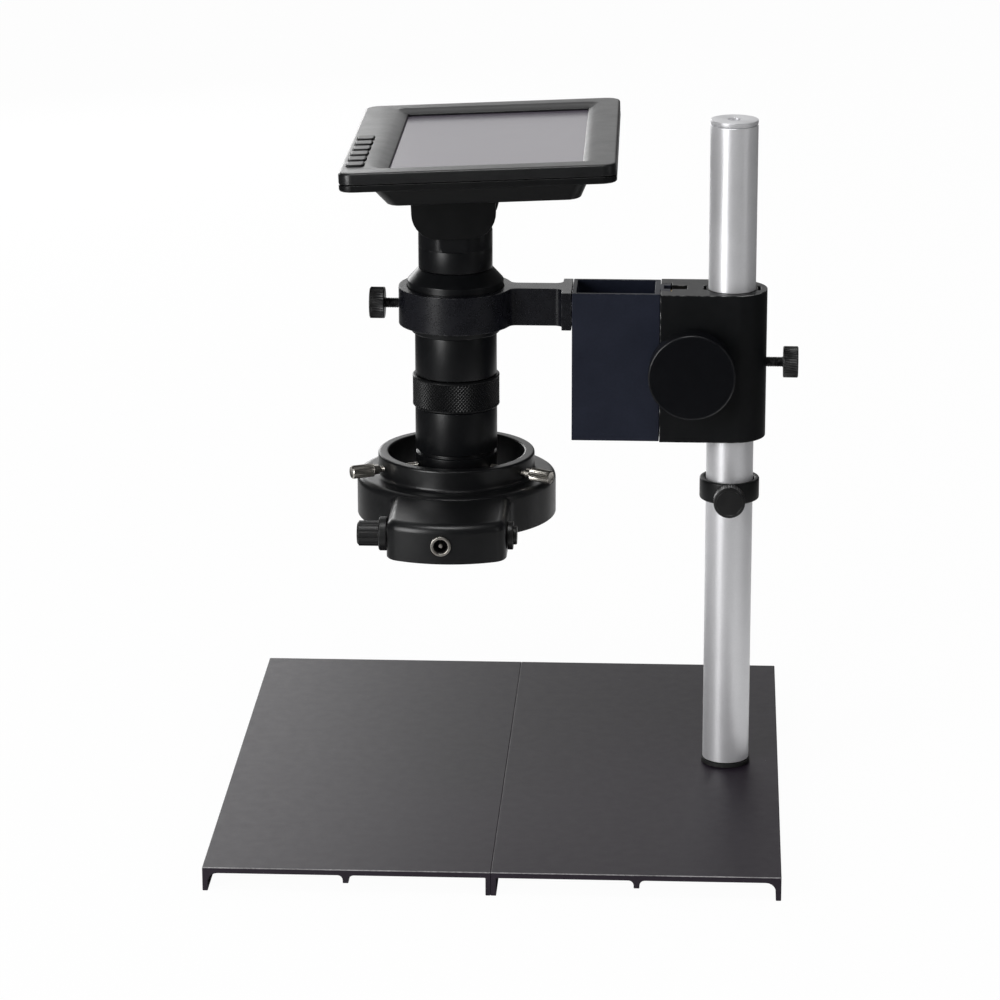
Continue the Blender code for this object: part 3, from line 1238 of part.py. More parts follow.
def make_light_insides(light, bottom):
    """The board with its ring of LEDs, facing down, and the clear cover under it."""
    inner = OPENING_INNER + SEAT_GAP
    outer = LIGHT_CAVITY - SEAT_GAP
    board_bottom = bottom + LED_BOARD_RECESS
    cover_bottom = bottom + COVER_RECESS
    board = turned("led_board",
                   [(inner, board_bottom + LED_BOARD_THICKNESS), (outer, board_bottom + LED_BOARD_THICKNESS),
                    (outer, board_bottom), (inner, board_bottom)],
                   finish("led_board_white", WHITE, 0.5), FINE, ring=True, parent=light)
    leds = bmesh.new()
    height = LED_HEIGHT + LED_BOARD_THICKNESS / 2
    for radius, count in zip(LED_RINGS, LED_COUNTS):
        for number in range(count):
            turn = Matrix.Rotation(2 * math.pi * (number + 0.5) / count, 4, "Z")
            where = turn @ Matrix.Translation((radius, 0, board_bottom - LED_HEIGHT + height / 2))
            cube = bmesh.ops.create_cube(leds, size=1)["verts"]
            bmesh.ops.scale(leds, vec=(LED_SIDE, LED_SIDE, height), verts=cube)
            bmesh.ops.transform(leds, matrix=where, verts=cube)
    join(board, place("led_blocks", mesh_from(leds, "led_blocks"), None, parent=light))
    turned("light_cover",
           [(inner, cover_bottom + COVER_THICKNESS), (outer, cover_bottom + COVER_THICKNESS),
            (outer, cover_bottom), (inner, cover_bottom)],
           finish("light_cover_clear", WHITE, 0.2), FINE, ring=True, parent=light)


def ribbed_outline(radius, ribs, depth):
    """A round outline with shallow V grooves, for a ribbed grip."""
    points = []
    for rib in range(ribs):
        start = 360 * rib / ribs
        points += arc((0, 0), radius, start, start + 240 / ribs, 2)
        points += arc((0, 0), radius - depth, start + 300 / ribs, start + 301 / ribs, 1)[:1]
    return points


def make_box_parts(light, housing):
    height = PLATE_TOP + BOX_PART_HEIGHT
    wall_outside = BOX_HALF_WIDTH
    jack_front = math.sqrt(BOX_FRONT_RADIUS ** 2 - JACK_OFFSET ** 2) + SEAT_GAP
    back = jack_front + JACK_RING - JACK_LENGTH
    front = jack_front + JACK_RING
    turned("dc_jack",
           [(0, front - JACK_PIN_SETBACK), (JACK_PIN_RADIUS, front - JACK_PIN_SETBACK),
            (JACK_PIN_RADIUS, front - JACK_BORE_DEPTH), (JACK_BORE_RADIUS, front - JACK_BORE_DEPTH),
            (JACK_BORE_RADIUS, front), (JACK_RING_RADIUS, front), (JACK_RING_RADIUS, jack_front),
            (JACK_BARREL_RADIUS, jack_front), (JACK_BARREL_RADIUS, back), (0, back)],
           finish("jack_nickel", NICKEL, 0.25, 1.0), MEDIUM,
           location=(JACK_OFFSET, 0, height), rotation=ALONG_MINUS_Y, parent=light)
    side_y = -DIMMER_FROM_LENS
    pot_face = wall_outside - BOX_WALL - SEAT_GAP
    pot_back = pot_face - POT_LENGTH
    shaft_end = wall_outside + DIMMER_SHAFT_PROUD
    where = {"location": (0, side_y, height), "parent": light}
    turned("dimmer_pot",
           [(0, shaft_end), (DIMMER_SHAFT_RADIUS, shaft_end), (DIMMER_SHAFT_RADIUS, pot_face),
            (POT_RADIUS, pot_face), (POT_RADIUS, pot_back), (0, pot_back)],
           finish("pot_steel", STEEL, 0.4, 1.0), 24, rotation=ALONG_MINUS_X, **where)
    knob_start = wall_outside + SEAT_GAP
    knob_end = knob_start + KNOB_SKIRT + KNOB_GRIP
    knob_bore = DIMMER_SHAFT_RADIUS + SEAT_GAP
    bore_end = shaft_end + SEAT_GAP
    soft = KNOB_RIB_DEPTH
    core_radius = KNOB_GRIP_RADIUS - 1.2 * KNOB_RIB_DEPTH
    knob = turned("dimmer_knob",
                  [(0, knob_end), (core_radius - soft, knob_end), (core_radius, knob_end - soft),
                   (core_radius, knob_start + KNOB_SKIRT), (KNOB_SKIRT_RADIUS - soft, knob_start + KNOB_SKIRT),
                   (KNOB_SKIRT_RADIUS, knob_start + KNOB_SKIRT - soft), (KNOB_SKIRT_RADIUS, knob_start),
                   (knob_bore, knob_start), (knob_bore, bore_end), (0, bore_end)],
                  finish("dimmer_black", BLACK, 0.5), MEDIUM, rotation=ALONG_MINUS_X, **where)
    ribs = prism("dimmer_ribs", ribbed_outline(KNOB_GRIP_RADIUS, KNOB_RIBS, KNOB_RIB_DEPTH),
                 KNOB_GRIP - soft, None, holes=[circle(core_radius - 2 * soft, MEDIUM)],
                 location=(-(knob_start + KNOB_SKIRT - soft / 2), side_y, height),
                 rotation=ALONG_MINUS_X, parent=light)
    join(knob, ribs)
    fuse_start = wall_outside + SEAT_GAP
    collar_end = fuse_start + FUSE_COLLAR
    cap_end = collar_end + FUSE_CAP
    turned("fuse_holder",
           [(0, cap_end), (FUSE_CAP_RADIUS - soft, cap_end), (FUSE_CAP_RADIUS, cap_end - soft),
            (FUSE_CAP_RADIUS, collar_end), (FUSE_COLLAR_RADIUS - soft, collar_end),
            (FUSE_COLLAR_RADIUS, collar_end - soft), (FUSE_COLLAR_RADIUS, fuse_start),
            (FUSE_BODY_RADIUS, fuse_start), (FUSE_BODY_RADIUS, cap_end - FUSE_CAP - FUSE_BODY),
            (0, cap_end - FUSE_CAP - FUSE_BODY)],
           finish("fuse_black", BLACK, 0.45), 24, rotation=ALONG_X, **where)
    through = 4 * BOX_WALL
    cut(housing,
        rod("jack_hole", JACK_BARREL_RADIUS + BOLT_PLAY, through, sides=24,
            location=(JACK_OFFSET, -BOX_FRONT_RADIUS, height), rotation=ALONG_MINUS_Y, parent=light),
        rod("pot_hole", DIMMER_SHAFT_RADIUS + BOLT_PLAY, through, sides=20,
            location=(-wall_outside, side_y, height), rotation=ALONG_X, parent=light),
        rod("fuse_hole", FUSE_BODY_RADIUS + BOLT_PLAY, through, sides=20,
            location=(wall_outside, side_y, height), rotation=ALONG_X, parent=light))
    block("control_board", (CONTROL_BOARD_WIDTH, CONTROL_BOARD_DEPTH, CONTROL_BOARD_THICKNESS),
          finish("control_board_green", BOARD_GREEN, 0.5),
          location=(0, -(LIGHT_RADIUS + BOX_FRONT_RADIUS) / 2, PLATE_TOP + CONTROL_BOARD_HEIGHT), parent=light)


def make_light_screws(light, housing):
    """Three thumbscrews that centre the light on the lens's front cell."""
    nickel = finish("light_screw_nickel", NICKEL, 0.3, 1.0)
    height = PLATE_TOP + LIGHT_SCREW_HEIGHT
    tip = FRONT_CELL_RADIUS + SEAT_GAP
    reach = LIGHT_SCREW_REACH
    head = reach - LIGHT_SCREW_HEAD
    neck = head - LIGHT_SCREW_NECK
    edge = LIGHT_SCREW_RADIUS / 4
    profile = [(0, reach), (LIGHT_SCREW_HEAD_RADIUS - edge, reach), (LIGHT_SCREW_HEAD_RADIUS, reach - edge),
               (LIGHT_SCREW_HEAD_RADIUS, head + edge), (LIGHT_SCREW_HEAD_RADIUS - edge, head),
               (LIGHT_SCREW_NECK_RADIUS, head), (LIGHT_SCREW_RADIUS, neck), (LIGHT_SCREW_RADIUS, tip + edge),
               (LIGHT_SCREW_RADIUS - edge, tip), (0, tip)]
    wall_middle = (LIGHT_OPENING_RADIUS + LIGHT_COLLAR_RADIUS) / 2
    for number, angle in enumerate(LIGHT_SCREW_ANGLES, 1):
        turn = math.radians(angle)
        rotation = (0, math.radians(90), turn)
        turned(f"light_screw_{number}", profile, nickel, SMALL,
               location=(0, 0, height), rotation=rotation, parent=light)
        cut(housing, rod(f"light_screw_hole_{number}", LIGHT_SCREW_RADIUS + BOLT_PLAY,
                         2 * (LIGHT_COLLAR_RADIUS - LIGHT_OPENING_RADIUS),
                         location=(wall_middle * math.cos(turn), wall_middle * math.sin(turn), height),
                         rotation=rotation, parent=light))


make_base()
make_pillar()
make_collar()
make_block()
make_focus_drive()
slider_box = make_slider()
make_arm(slider_box)
make_lens()
hinge_seat = holder("hinge_seat", (LENS_X, AXIS_Y, HINGE_Z), (SCREEN_LEAN, 0, SCREEN_TURN))
screen_hinge = holder("screen_hinge", (0, 0, 0), (0, SCREEN_TILT, 0), hinge_seat)
bpy.context.view_layer.update()
make_camera(hinge_seat)
make_bracket(screen_hinge)
make_screen(screen_hinge)
light_axis = holder("light_axis", (LENS_X, AXIS_Y, 0))
bpy.context.view_layer.update()
make_light(light_axis)
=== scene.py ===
"""The looks of a digital microscope on its pillar stand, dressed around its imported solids.

Metres, +Z up, in the solids' own frame: the user sits on the -X side and the camera looks along +Y.
"""

import math

import bmesh
import bpy
from mathutils import Matrix, Vector
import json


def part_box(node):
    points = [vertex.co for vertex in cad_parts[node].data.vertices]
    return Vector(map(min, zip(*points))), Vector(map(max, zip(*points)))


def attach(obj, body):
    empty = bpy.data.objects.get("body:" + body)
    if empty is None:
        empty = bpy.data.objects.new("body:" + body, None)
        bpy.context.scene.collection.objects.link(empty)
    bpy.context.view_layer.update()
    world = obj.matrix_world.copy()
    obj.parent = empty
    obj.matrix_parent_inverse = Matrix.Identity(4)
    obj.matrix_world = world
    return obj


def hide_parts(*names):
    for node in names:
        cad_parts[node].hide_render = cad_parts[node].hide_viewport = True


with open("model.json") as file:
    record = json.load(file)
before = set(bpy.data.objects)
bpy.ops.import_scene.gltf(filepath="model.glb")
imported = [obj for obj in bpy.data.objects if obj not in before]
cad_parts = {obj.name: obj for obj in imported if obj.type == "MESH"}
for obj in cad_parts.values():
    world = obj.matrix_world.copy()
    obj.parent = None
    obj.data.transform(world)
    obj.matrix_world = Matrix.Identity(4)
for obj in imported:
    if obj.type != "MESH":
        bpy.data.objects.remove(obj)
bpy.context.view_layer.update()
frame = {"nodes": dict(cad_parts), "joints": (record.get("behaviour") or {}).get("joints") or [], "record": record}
nodes = frame["nodes"]
record = frame["record"]

# Camera: a long lens well in front of the stand and a little above it, turned slightly to the right.
# Its place and turn come from the base's corners, the pillar and the round rims in the photograph.
CAMERA_PLACE = (0.09202, -1.83198, 0.69979)
CAMERA_LENS, SENSOR_WIDTH, FARTHEST_SEEN = 147.41, 36, 60
CAMERA_PITCH, CAMERA_ROLL, CAMERA_YAW = 0.2957495, -0.0021711, -0.0535266


def set_up(name, data):
    """A new object in the scene, for the camera, a lamp or a mesh."""
    made = bpy.data.objects.new(name, data)
    bpy.context.scene.collection.objects.link(made)
    return made


camera = set_up("camera", bpy.data.cameras.new("camera"))
bpy.context.scene.camera = camera
camera.data.lens = CAMERA_LENS
camera.data.sensor_width = SENSOR_WIDTH
camera.data.clip_end = FARTHEST_SEEN
yaw = Matrix.Rotation(CAMERA_YAW, 3, "Z")
upright = Matrix(((1, 0, 0), (0, 0, -1), (0, 1, 0)))
pitch = Matrix.Rotation(CAMERA_PITCH, 3, "X")
roll = Matrix.Rotation(CAMERA_ROLL, 3, "Z")
right, down, ahead = roll @ pitch @ upright @ yaw
turned_view = Matrix((right, -down, -ahead)).transposed().to_4x4()
camera.matrix_world = Matrix.Translation(CAMERA_PLACE) @ turned_view

# Studio: a pale floor that keeps a faint shadow, a white surround, and soft boxes left, right, above and behind.
# In reflections the floor and the surround are dim in front, as behind a photographer, so black faces stay
# black. Each soft box has its name, place, size and power.
FLOOR_REACH, FLOOR_WHITE = 14, 0.97
FLOOR_PAPER, FLOOR_MIRRORED = (0.90, 0.90, 0.90), (0.075, 0.075, 0.075)
AMBIENT = 0.50
LAMPS_AIM = Vector((0, 0, 0.16))
SOFT_BOXES = (
    ("left_box", (-1.25, -1.50, 0.62), (0.70, 1.25), 23.0),
    ("right_box", (1.60, -0.90, 0.70), (0.50, 1.20), 1.2),
    ("top_box", (-0.15, -0.60, 1.85), (0.65, 0.50), 9.0),
    ("back_box", (-0.68, 1.50, 0.41), (0.95, 0.42), 5.2),
)


def node_of(tree, kind, **settings):
    made = tree.nodes.new(kind)
    for key, value in settings.items():
        setattr(made, key, value)
    return made


def wire(tree, value, socket):
    """Links a socket to the output given, or sets it to a plain number or colour."""
    if isinstance(value, (int, float)):
        socket.default_value = value
    elif isinstance(value, tuple):
        socket.default_value = (*value, 1)
    else:
        tree.links.new(value, socket)


def maths(tree, operation, *values, clamp=False):
    """A Math node on outputs or plain numbers, as its own output."""
    made = node_of(tree, "ShaderNodeMath", operation=operation, use_clamp=clamp)
    for value, socket in zip(values, made.inputs):
        wire(tree, value, socket)
    return made.outputs[0]


def ramp(tree, value, start, end, low=0.0, high=1.0):
    """A smooth step that goes from low at start to high at end."""
    made = node_of(tree, "ShaderNodeMapRange", interpolation_type="SMOOTHSTEP")
    for label, number in (("Value", value), ("From Min", start), ("From Max", end), ("To Min", low),
                          ("To Max", high)):
        wire(tree, number, made.inputs[label])
    return made.outputs["Result"]


def mixed_colour(tree, mask, first, second):
    made = node_of(tree, "ShaderNodeMix", data_type="RGBA")
    for value, socket in ((mask, made.inputs["Factor"]), (first, made.inputs[6]), (second, made.inputs[7])):
        wire(tree, value, socket)
    return made.outputs[2]


def mixed_shader(tree, share, first, second):
    made = node_of(tree, "ShaderNodeMixShader")
    for value, socket in zip((share, first, second), made.inputs):
        wire(tree, value, socket)
    return made.outputs[0]


def coordinates(tree, space):
    """X, Y and Z of the point that is lit, or of the direction that is looked in, as three outputs."""
    made = node_of(tree, "ShaderNodeSeparateXYZ")
    wire(tree, node_of(tree, "ShaderNodeTexCoord").outputs[space], made.inputs[0])
    return made.outputs


def rays(tree):
    """One output that is 1 for mirrored rays, and one that is 1 for rays seen straight or through glass."""
    path = node_of(tree, "ShaderNodeLightPath")
    straight = maths(tree, "MAXIMUM", path.outputs["Is Camera Ray"], path.outputs["Is Transmission Ray"])
    return path.outputs["Is Glossy Ray"], straight


def surround_of(tree, strength, grey):
    made = node_of(tree, "ShaderNodeBackground")
    wire(tree, (grey, grey, grey), made.inputs["Color"])
    wire(tree, strength, made.inputs["Strength"])
    return made.outputs[0]


floor_shape = bpy.data.meshes.new("floor")
floor_corners = [(FLOOR_REACH * x, FLOOR_REACH * y, 0) for x, y in ((-1, -1), (1, -1), (1, 1), (-1, 1))]
floor_shape.from_pydata(floor_corners, [], [(0, 1, 2, 3)])
floor = set_up("floor", floor_shape)
floor_paper = bpy.data.materials.new("floor_paper")
floor_paper.use_nodes = True
tree = floor_paper.node_tree
tree.nodes.clear()
place = coordinates(tree, "Object")
in_front = ramp(tree, place["Y"], -0.10, -0.50)
beside = ramp(tree, maths(tree, "ABSOLUTE", place["X"]), 0.20, 0.55)
mirrored, straight = rays(tree)
dimmed = maths(tree, "MULTIPLY", mirrored, maths(tree, "MAXIMUM", in_front, beside))
paper = node_of(tree, "ShaderNodeBsdfDiffuse")
wire(tree, mixed_colour(tree, dimmed, FLOOR_PAPER, FLOOR_MIRRORED), paper.inputs["Color"])
glow = node_of(tree, "ShaderNodeEmission")
seen = mixed_shader(tree, maths(tree, "MULTIPLY", straight, FLOOR_WHITE), paper.outputs[0], glow.outputs[0])
wire(tree, seen, node_of(tree, "ShaderNodeOutputMaterial").inputs["Surface"])
floor_shape.materials.append(floor_paper)

world = bpy.data.worlds.new("surround")
bpy.context.scene.world = world
world.use_nodes = True
tree = world.node_tree
tree.nodes.clear()
direction = coordinates(tree, "Generated")
towards_back = ramp(tree, direction["Y"], -0.30, 0.80, 0.05, 1.0)
from_brightest = maths(tree, "ABSOLUTE", maths(tree, "ADD", direction["X"], 0.10))
off_middle = ramp(tree, from_brightest, 0.40, 0.04, 0.08, 0.94)
ambient = surround_of(tree, AMBIENT, 0.8)
reflected = surround_of(tree, maths(tree, "MULTIPLY", towards_back, off_middle), 0.8)
white = surround_of(tree, 1.0, 1.0)
mirrored, straight = rays(tree)
seen = mixed_shader(tree, straight, mixed_shader(tree, mirrored, ambient, reflected), white)
wire(tree, seen, node_of(tree, "ShaderNodeOutputWorld").inputs["Surface"])

for name, place, size, power in SOFT_BOXES:
    lamp = bpy.data.lights.new(name, "AREA")
    lamp.shape = "RECTANGLE"
    lamp.size, lamp.size_y = size
    lamp.energy = power
    soft_box = set_up(name, lamp)
    soft_box.location = place
    soft_box.rotation_euler = (LAMPS_AIM - Vector(place)).to_track_quat("-Z", "Y").to_euler()
    soft_box.visible_camera = False
bpy.context.scene.view_settings.view_transform = "Standard"

# Base: two ribbed plates of extruded aluminium, sawn to length, blasted and anodised dark grey.
# They are bolted together under the seam, and the rounding along their sawn front edges shows a thin bright line,
# partly scuffing and partly a painted highlight.
SOFT_EDGE, PLATE_EDGE, SAWN_AND_HIGHLIGHT_LINE = 0.00025, 0.00035, 0.0005
SAME_PLACE, FLAT_TURN, SHARP_TURN = 0.000002, math.radians(0.4), math.radians(32)
DUST_GREY = (0.35, 0.35, 0.34)


def group_of(name, inputs, outputs):
    """An empty shader group of plain numbers, from (name, default) inputs and the names of its outputs."""
    made = bpy.data.node_groups.new(name, "ShaderNodeTree")
    for label, value in inputs:
        made.interface.new_socket(label, in_out="INPUT", socket_type="NodeSocketFloat").default_value = value
    for label in outputs:
        made.interface.new_socket(label, in_out="OUTPUT", socket_type="NodeSocketFloat")
    return made, node_of(made, "NodeGroupInput").outputs, node_of(made, "NodeGroupOutput").inputs


def noise(tree, where, scale, detail):
    made = node_of(tree, "ShaderNodeTexNoise")
    for label, value in (("Vector", where), ("Scale", scale), ("Detail", detail)):
        wire(tree, value, made.inputs[label])
    return made.outputs["Fac"]


# The blasted grain is a fine noise in the relief, and a fine and a broad one in the tone and the roughness.
grain_group, given, out = group_of(
    "blasted_grain", [("Grain Size", 0.0006), ("Roughness", 0.4), ("Spread", 0.1)], ["Height", "Roughness", "Tone"])
spot = node_of(grain_group, "ShaderNodeTexCoord").outputs["Object"]
fine_scale = maths(grain_group, "DIVIDE", 1.0, given["Grain Size"])
broad_scale = maths(grain_group, "MULTIPLY", fine_scale, 0.09)
fine = noise(grain_group, spot, fine_scale, 4.0)
broad = noise(grain_group, spot, broad_scale, 3.0)
centred = maths(grain_group, "SUBTRACT", maths(grain_group, "ADD", fine, broad), 1.0)
spread = maths(grain_group, "MULTIPLY", centred, given["Spread"])
contrast = maths(grain_group, "MULTIPLY", centred, 0.9)
wire(grain_group, fine, out["Height"])
wire(grain_group, maths(grain_group, "ADD", spread, given["Roughness"], clamp=True), out["Roughness"])
wire(grain_group, maths(grain_group, "ADD", contrast, 0.5, clamp=True), out["Tone"])

# Edge scuffing shows in patches, where the rounded normal leaves the face's own; on the knobs and the column block
# this bright edge colour is also a painted highlight.
wear_and_sheen_group, given, out = group_of(
    "edge_wear_and_sheen", [("Width", 0.0003), ("Amount", 0.5), ("Patch Size", 0.003)], ["Mask"])
rounded_normal = node_of(wear_and_sheen_group, "ShaderNodeBevel", samples=4)
wire(wear_and_sheen_group, given["Width"], rounded_normal.inputs["Radius"])
facing = node_of(wear_and_sheen_group, "ShaderNodeVectorMath", operation="DOT_PRODUCT")
wire(wear_and_sheen_group, rounded_normal.outputs[0], facing.inputs[0])
wire(wear_and_sheen_group, node_of(wear_and_sheen_group, "ShaderNodeNewGeometry").outputs["Normal"], facing.inputs[1])
turned_away = maths(wear_and_sheen_group, "SUBTRACT", 1.0, facing.outputs["Value"])
on_edge = maths(wear_and_sheen_group, "MULTIPLY", turned_away, 9.0, clamp=True)
spot = node_of(wear_and_sheen_group, "ShaderNodeTexCoord").outputs["Object"]
patches = noise(wear_and_sheen_group, spot, maths(wear_and_sheen_group, "DIVIDE", 1.0, given["Patch Size"]), 5.0)
kept = maths(wear_and_sheen_group, "SUBTRACT", patches, maths(wear_and_sheen_group, "SUBTRACT", 1.0, given["Amount"]))
kept_patch = maths(wear_and_sheen_group, "MULTIPLY", kept, 7.0, clamp=True)
wire(wear_and_sheen_group, maths(wear_and_sheen_group, "MULTIPLY", on_edge, kept_patch), out["Mask"])

# Dust is a speck of uneven size in the middle of some cells.
dust_group, given, out = group_of(
    "dust_specks", [("Spacing", 0.006), ("Speck Size", 0.0002), ("Amount", 0.5)], ["Mask"])
spot = node_of(dust_group, "ShaderNodeTexCoord").outputs["Object"]
cells = node_of(dust_group, "ShaderNodeTexVoronoi")
wire(dust_group, spot, cells.inputs["Vector"])
wire(dust_group, maths(dust_group, "DIVIDE", 1.0, given["Spacing"]), cells.inputs["Scale"])
chance = node_of(dust_group, "ShaderNodeSeparateColor")
wire(dust_group, cells.outputs["Color"], chance.inputs[0])
picked = maths(dust_group, "LESS_THAN", chance.outputs[0], given["Amount"])
speck_reach = maths(dust_group, "DIVIDE", given["Speck Size"], given["Spacing"])
uneven = maths(dust_group, "MULTIPLY", speck_reach, chance.outputs[1])
near = maths(dust_group, "LESS_THAN", cells.outputs["Distance"], uneven)
wire(dust_group, maths(dust_group, "MULTIPLY", near, picked), out["Mask"])


def placed(tree, group, **values):
    made = node_of(tree, "ShaderNodeGroup", node_tree=group)
    for key, value in values.items():
        made.inputs[key.replace("_", " ")].default_value = value
    return made.outputs


def new_finish(name):
    """A new material, its tree and its shader."""
    made = bpy.data.materials.new(name)
    made.use_nodes = True
    return made, made.node_tree, made.node_tree.nodes["Principled BSDF"]


def grained(tree, shader, dark, light, grain, roughness, spread):
    """Lays the grain over a shader's roughness, and returns its colour and its height."""
    texture = placed(tree, grain_group, Grain_Size=grain, Roughness=roughness, Spread=spread)
    wire(tree, texture["Roughness"], shader.inputs["Roughness"])
    return mixed_colour(tree, texture["Tone"], dark, light), texture["Height"]


def embossed(tree, shader, height, strength, distance):
    relief = node_of(tree, "ShaderNodeBump")
    for label, value in (("Height", height), ("Strength", strength), ("Distance", distance)):
        wire(tree, value, relief.inputs[label])
    wire(tree, relief.outputs[0], shader.inputs["Normal"])


def finished(name, dark, light, grain=0.0006, roughness=0.4, spread=0.1, bump=0.05, metallic=0.0,
             wear_and_sheen_colour=None, wear_and_sheen=0.0, wear_and_sheen_width=0.0003, dust=0.0, level=0.5):
    """A finish with grain in its colour, roughness and bump, and scuffed edges, on some finishes with a painted
    highlight, or dust where asked.
    """
    made, tree, shader = new_finish(name)
    shader.inputs["Metallic"].default_value = metallic
    shader.inputs["Specular IOR Level"].default_value = level
    colour, height = grained(tree, shader, dark, light, grain, roughness, spread)
    if wear_and_sheen:
        wear_and_sheen_edge = placed(tree, wear_and_sheen_group, Width=wear_and_sheen_width, Amount=wear_and_sheen)
        colour = mixed_colour(tree, wear_and_sheen_edge["Mask"], colour, wear_and_sheen_colour)
    if dust:
        specks = placed(tree, dust_group, Amount=dust)
        colour = mixed_colour(tree, specks["Mask"], colour, DUST_GREY)
    wire(tree, colour, shader.inputs["Base Color"])
    embossed(tree, shader, height, bump, grain / 4)
    return made


def piece_of(name, shape):
    """A new object from a worked shape, which is used up."""
    data = bpy.data.meshes.new(name)
    shape.to_mesh(data)
    shape.free()
    return set_up(name, data)


def sheen_of(data, angle=40):
    data.shade_smooth()
    data.set_sharp_from_angle(angle=math.radians(angle))


def even_shading(piece):
    even = piece.modifiers.new("even_shading", "WEIGHTED_NORMAL")
    even.weight, even.keep_sharp = 100, True


def softened(node, width=SOFT_EDGE):
    """The solid's own shape with its sharp edges rounded off, as a new piece in its place."""
    shape = bmesh.new()
    shape.from_mesh(nodes[node].data)
    bmesh.ops.remove_doubles(shape, verts=shape.verts, dist=SAME_PLACE)
    bmesh.ops.dissolve_limit(shape, angle_limit=FLAT_TURN, verts=shape.verts, edges=shape.edges)
    sharp = [edge for edge in shape.edges if len(edge.link_faces) == 2 and edge.calc_face_angle() > SHARP_TURN]
    bmesh.ops.bevel(shape, geom=sharp, offset=width, segments=2, profile=0.5, affect="EDGES",
                    clamp_overlap=False)
    made = piece_of(node + "_piece", shape)
    sheen_of(made.data)
    even_shading(made)
    return made


body_of_node = {name: body for body, members in record["behaviour"]["bodies"].items() for name in members}


def goes_with(piece, material, node):
    """Gives a piece its finish, and the body of the solid that it belongs to."""
    piece.data.materials.clear()
    piece.data.materials.append(material)
    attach(piece, body_of_node[node])
    return piece


def stands_for(piece, material, node):
    """The same, for a piece that is shown instead of its solid."""
    goes_with(piece, material, node)
    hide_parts(node)
    return piece


def kept_solid(node, material):
    """The solid itself shows, in its finish."""
    nodes[node].data.materials.clear()
    nodes[node].data.materials.append(material)


def second_finish(piece, material, belongs):
    """Gives a further finish to the faces that belong to it."""
    piece.data.materials.append(material)
    for face in piece.data.polygons:
        if belongs(face):
            face.material_index = 1


base_anodised = finished("base_anodised", (0.0100, 0.0062, 0.0118), (0.0164, 0.0104, 0.0192), grain=0.0005,
                         roughness=0.45, bump=0.12, dust=0.04, level=0.3)
sawn_edge_and_highlight = finished("sawn_edge_and_highlight", (0.02, 0.02, 0.02), (0.46, 0.45, 0.46), grain=0.0016, bump=0.10)
for node in ("base_plate_left", "base_plate_right"):
    plate = stands_for(softened(node, PLATE_EDGE), base_anodised, node)
    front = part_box(node)[0].y
    # The faces along the front edge that tilt up and forward take a light grey finish: partly scuffing, partly a
    # painted highlight.
    second_finish(plate, sawn_edge_and_highlight, lambda face: face.center.y < front + SAWN_AND_HIGHLIGHT_LINE
                  and face.normal.z > 0.2 and face.normal.y < -0.2)
zinc_plate = finished("zinc_plate", (0.48, 0.48, 0.47), (0.62, 0.62, 0.60), grain=0.0004, roughness=0.34,
                      spread=0.2, bump=0.08, metallic=1.0)
for node in ("joining_bolt_1", "joining_bolt_2", "pillar_bolt"):
    kept_solid(node, zinc_plate)

# Pillar: a drawn aluminium tube, satin anodised silver, on a thin black foot washer and capped by a disc.
# One bolt through the right plate holds it; the cap's shank is pressed into its bore.
PILLAR_ROUND, CAP_ROUND = 0.0005, 0.0003
CAP_HOLE, CAP_SHANK, CAP_PLATE, CAP_STEP, CAP_UNDER = 0.003, 0.0050, 0.0018, 0.0006, 0.0023
ON_AXIS = 0.0000001


def spun(name, profile, where, sides=96, ring=False, groove=None):
    """A section of (radius, height) points turned about its own Z, then placed; groove cuts its outside."""
    shape = bmesh.new()
    rows = []
    for radius, height in profile:
        if radius < ON_AXIS:
            rows.append([shape.verts.new(where @ Vector((0, 0, height)))])
            continue
        row = []
        for i in range(sides):
            turn = 2 * math.pi * i / sides
            reach = radius - (groove(radius, height, turn) if groove else 0)
            row.append(shape.verts.new(where @ Vector((reach * math.cos(turn), reach * math.sin(turn), height))))
        rows.append(row)
    for first, second in list(zip(rows, rows[1:])) + ([(rows[-1], rows[0])] if ring else []):
        for i in range(sides):
            j = (i + 1) % sides
            if len(first) == 1:
                shape.faces.new((first[0], second[j], second[i]))
            elif len(second) == 1:
                shape.faces.new((first[i], first[j], second[0]))
            else:
                shape.faces.new((first[i], first[j], second[j], second[i]))
    bmesh.ops.recalc_face_normals(shape, faces=shape.faces)
    made = piece_of(name, shape)
    sheen_of(made.data, 30)
    return made


def eased(profile, radius, steps=3, ring=False):
    """The same section with each corner rounded to a radius, which a corner may give as its third number."""
    made = []
    count = len(profile)
    for i, corner in enumerate(profile):
        here = Vector(corner[:2])
        if not ring and i in (0, count - 1):
            made.append(tuple(here))
            continue
        back = Vector(profile[i - 1][:2]) - here
        on = Vector(profile[(i + 1) % count][:2]) - here
        turn = math.pi - back.angle(on)
        if turn < math.radians(15):
            made.append(tuple(here))
            continue
        wanted = corner[2] if len(corner) == 3 else radius
        reach = min(wanted * math.tan(turn / 2), back.length * 0.48, on.length * 0.48)
        start, end = here + back.normalized() * reach, here + on.normalized() * reach
        for k in range(steps + 1):
            t = k / steps
            point = start * (1 - t) ** 2 + here * (2 * t * (1 - t)) + end * t ** 2
            made.append((point.x, point.y))
    return made


def turned_ring(name, section, soft, where, steps=3, sides=96):
    """A ring turned from a closed section with soft corners."""
    return spun(name, eased(section, soft, steps, ring=True), where, sides, ring=True)


def upright_axis(node):
    """A round solid's upright axis as a placing matrix, with its radius, its bottom and its top."""
    low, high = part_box(node)
    middle = (low + high) / 2
    return Matrix.Translation((middle.x, middle.y, 0)), (high.y - low.y) / 2, low.z, high.z


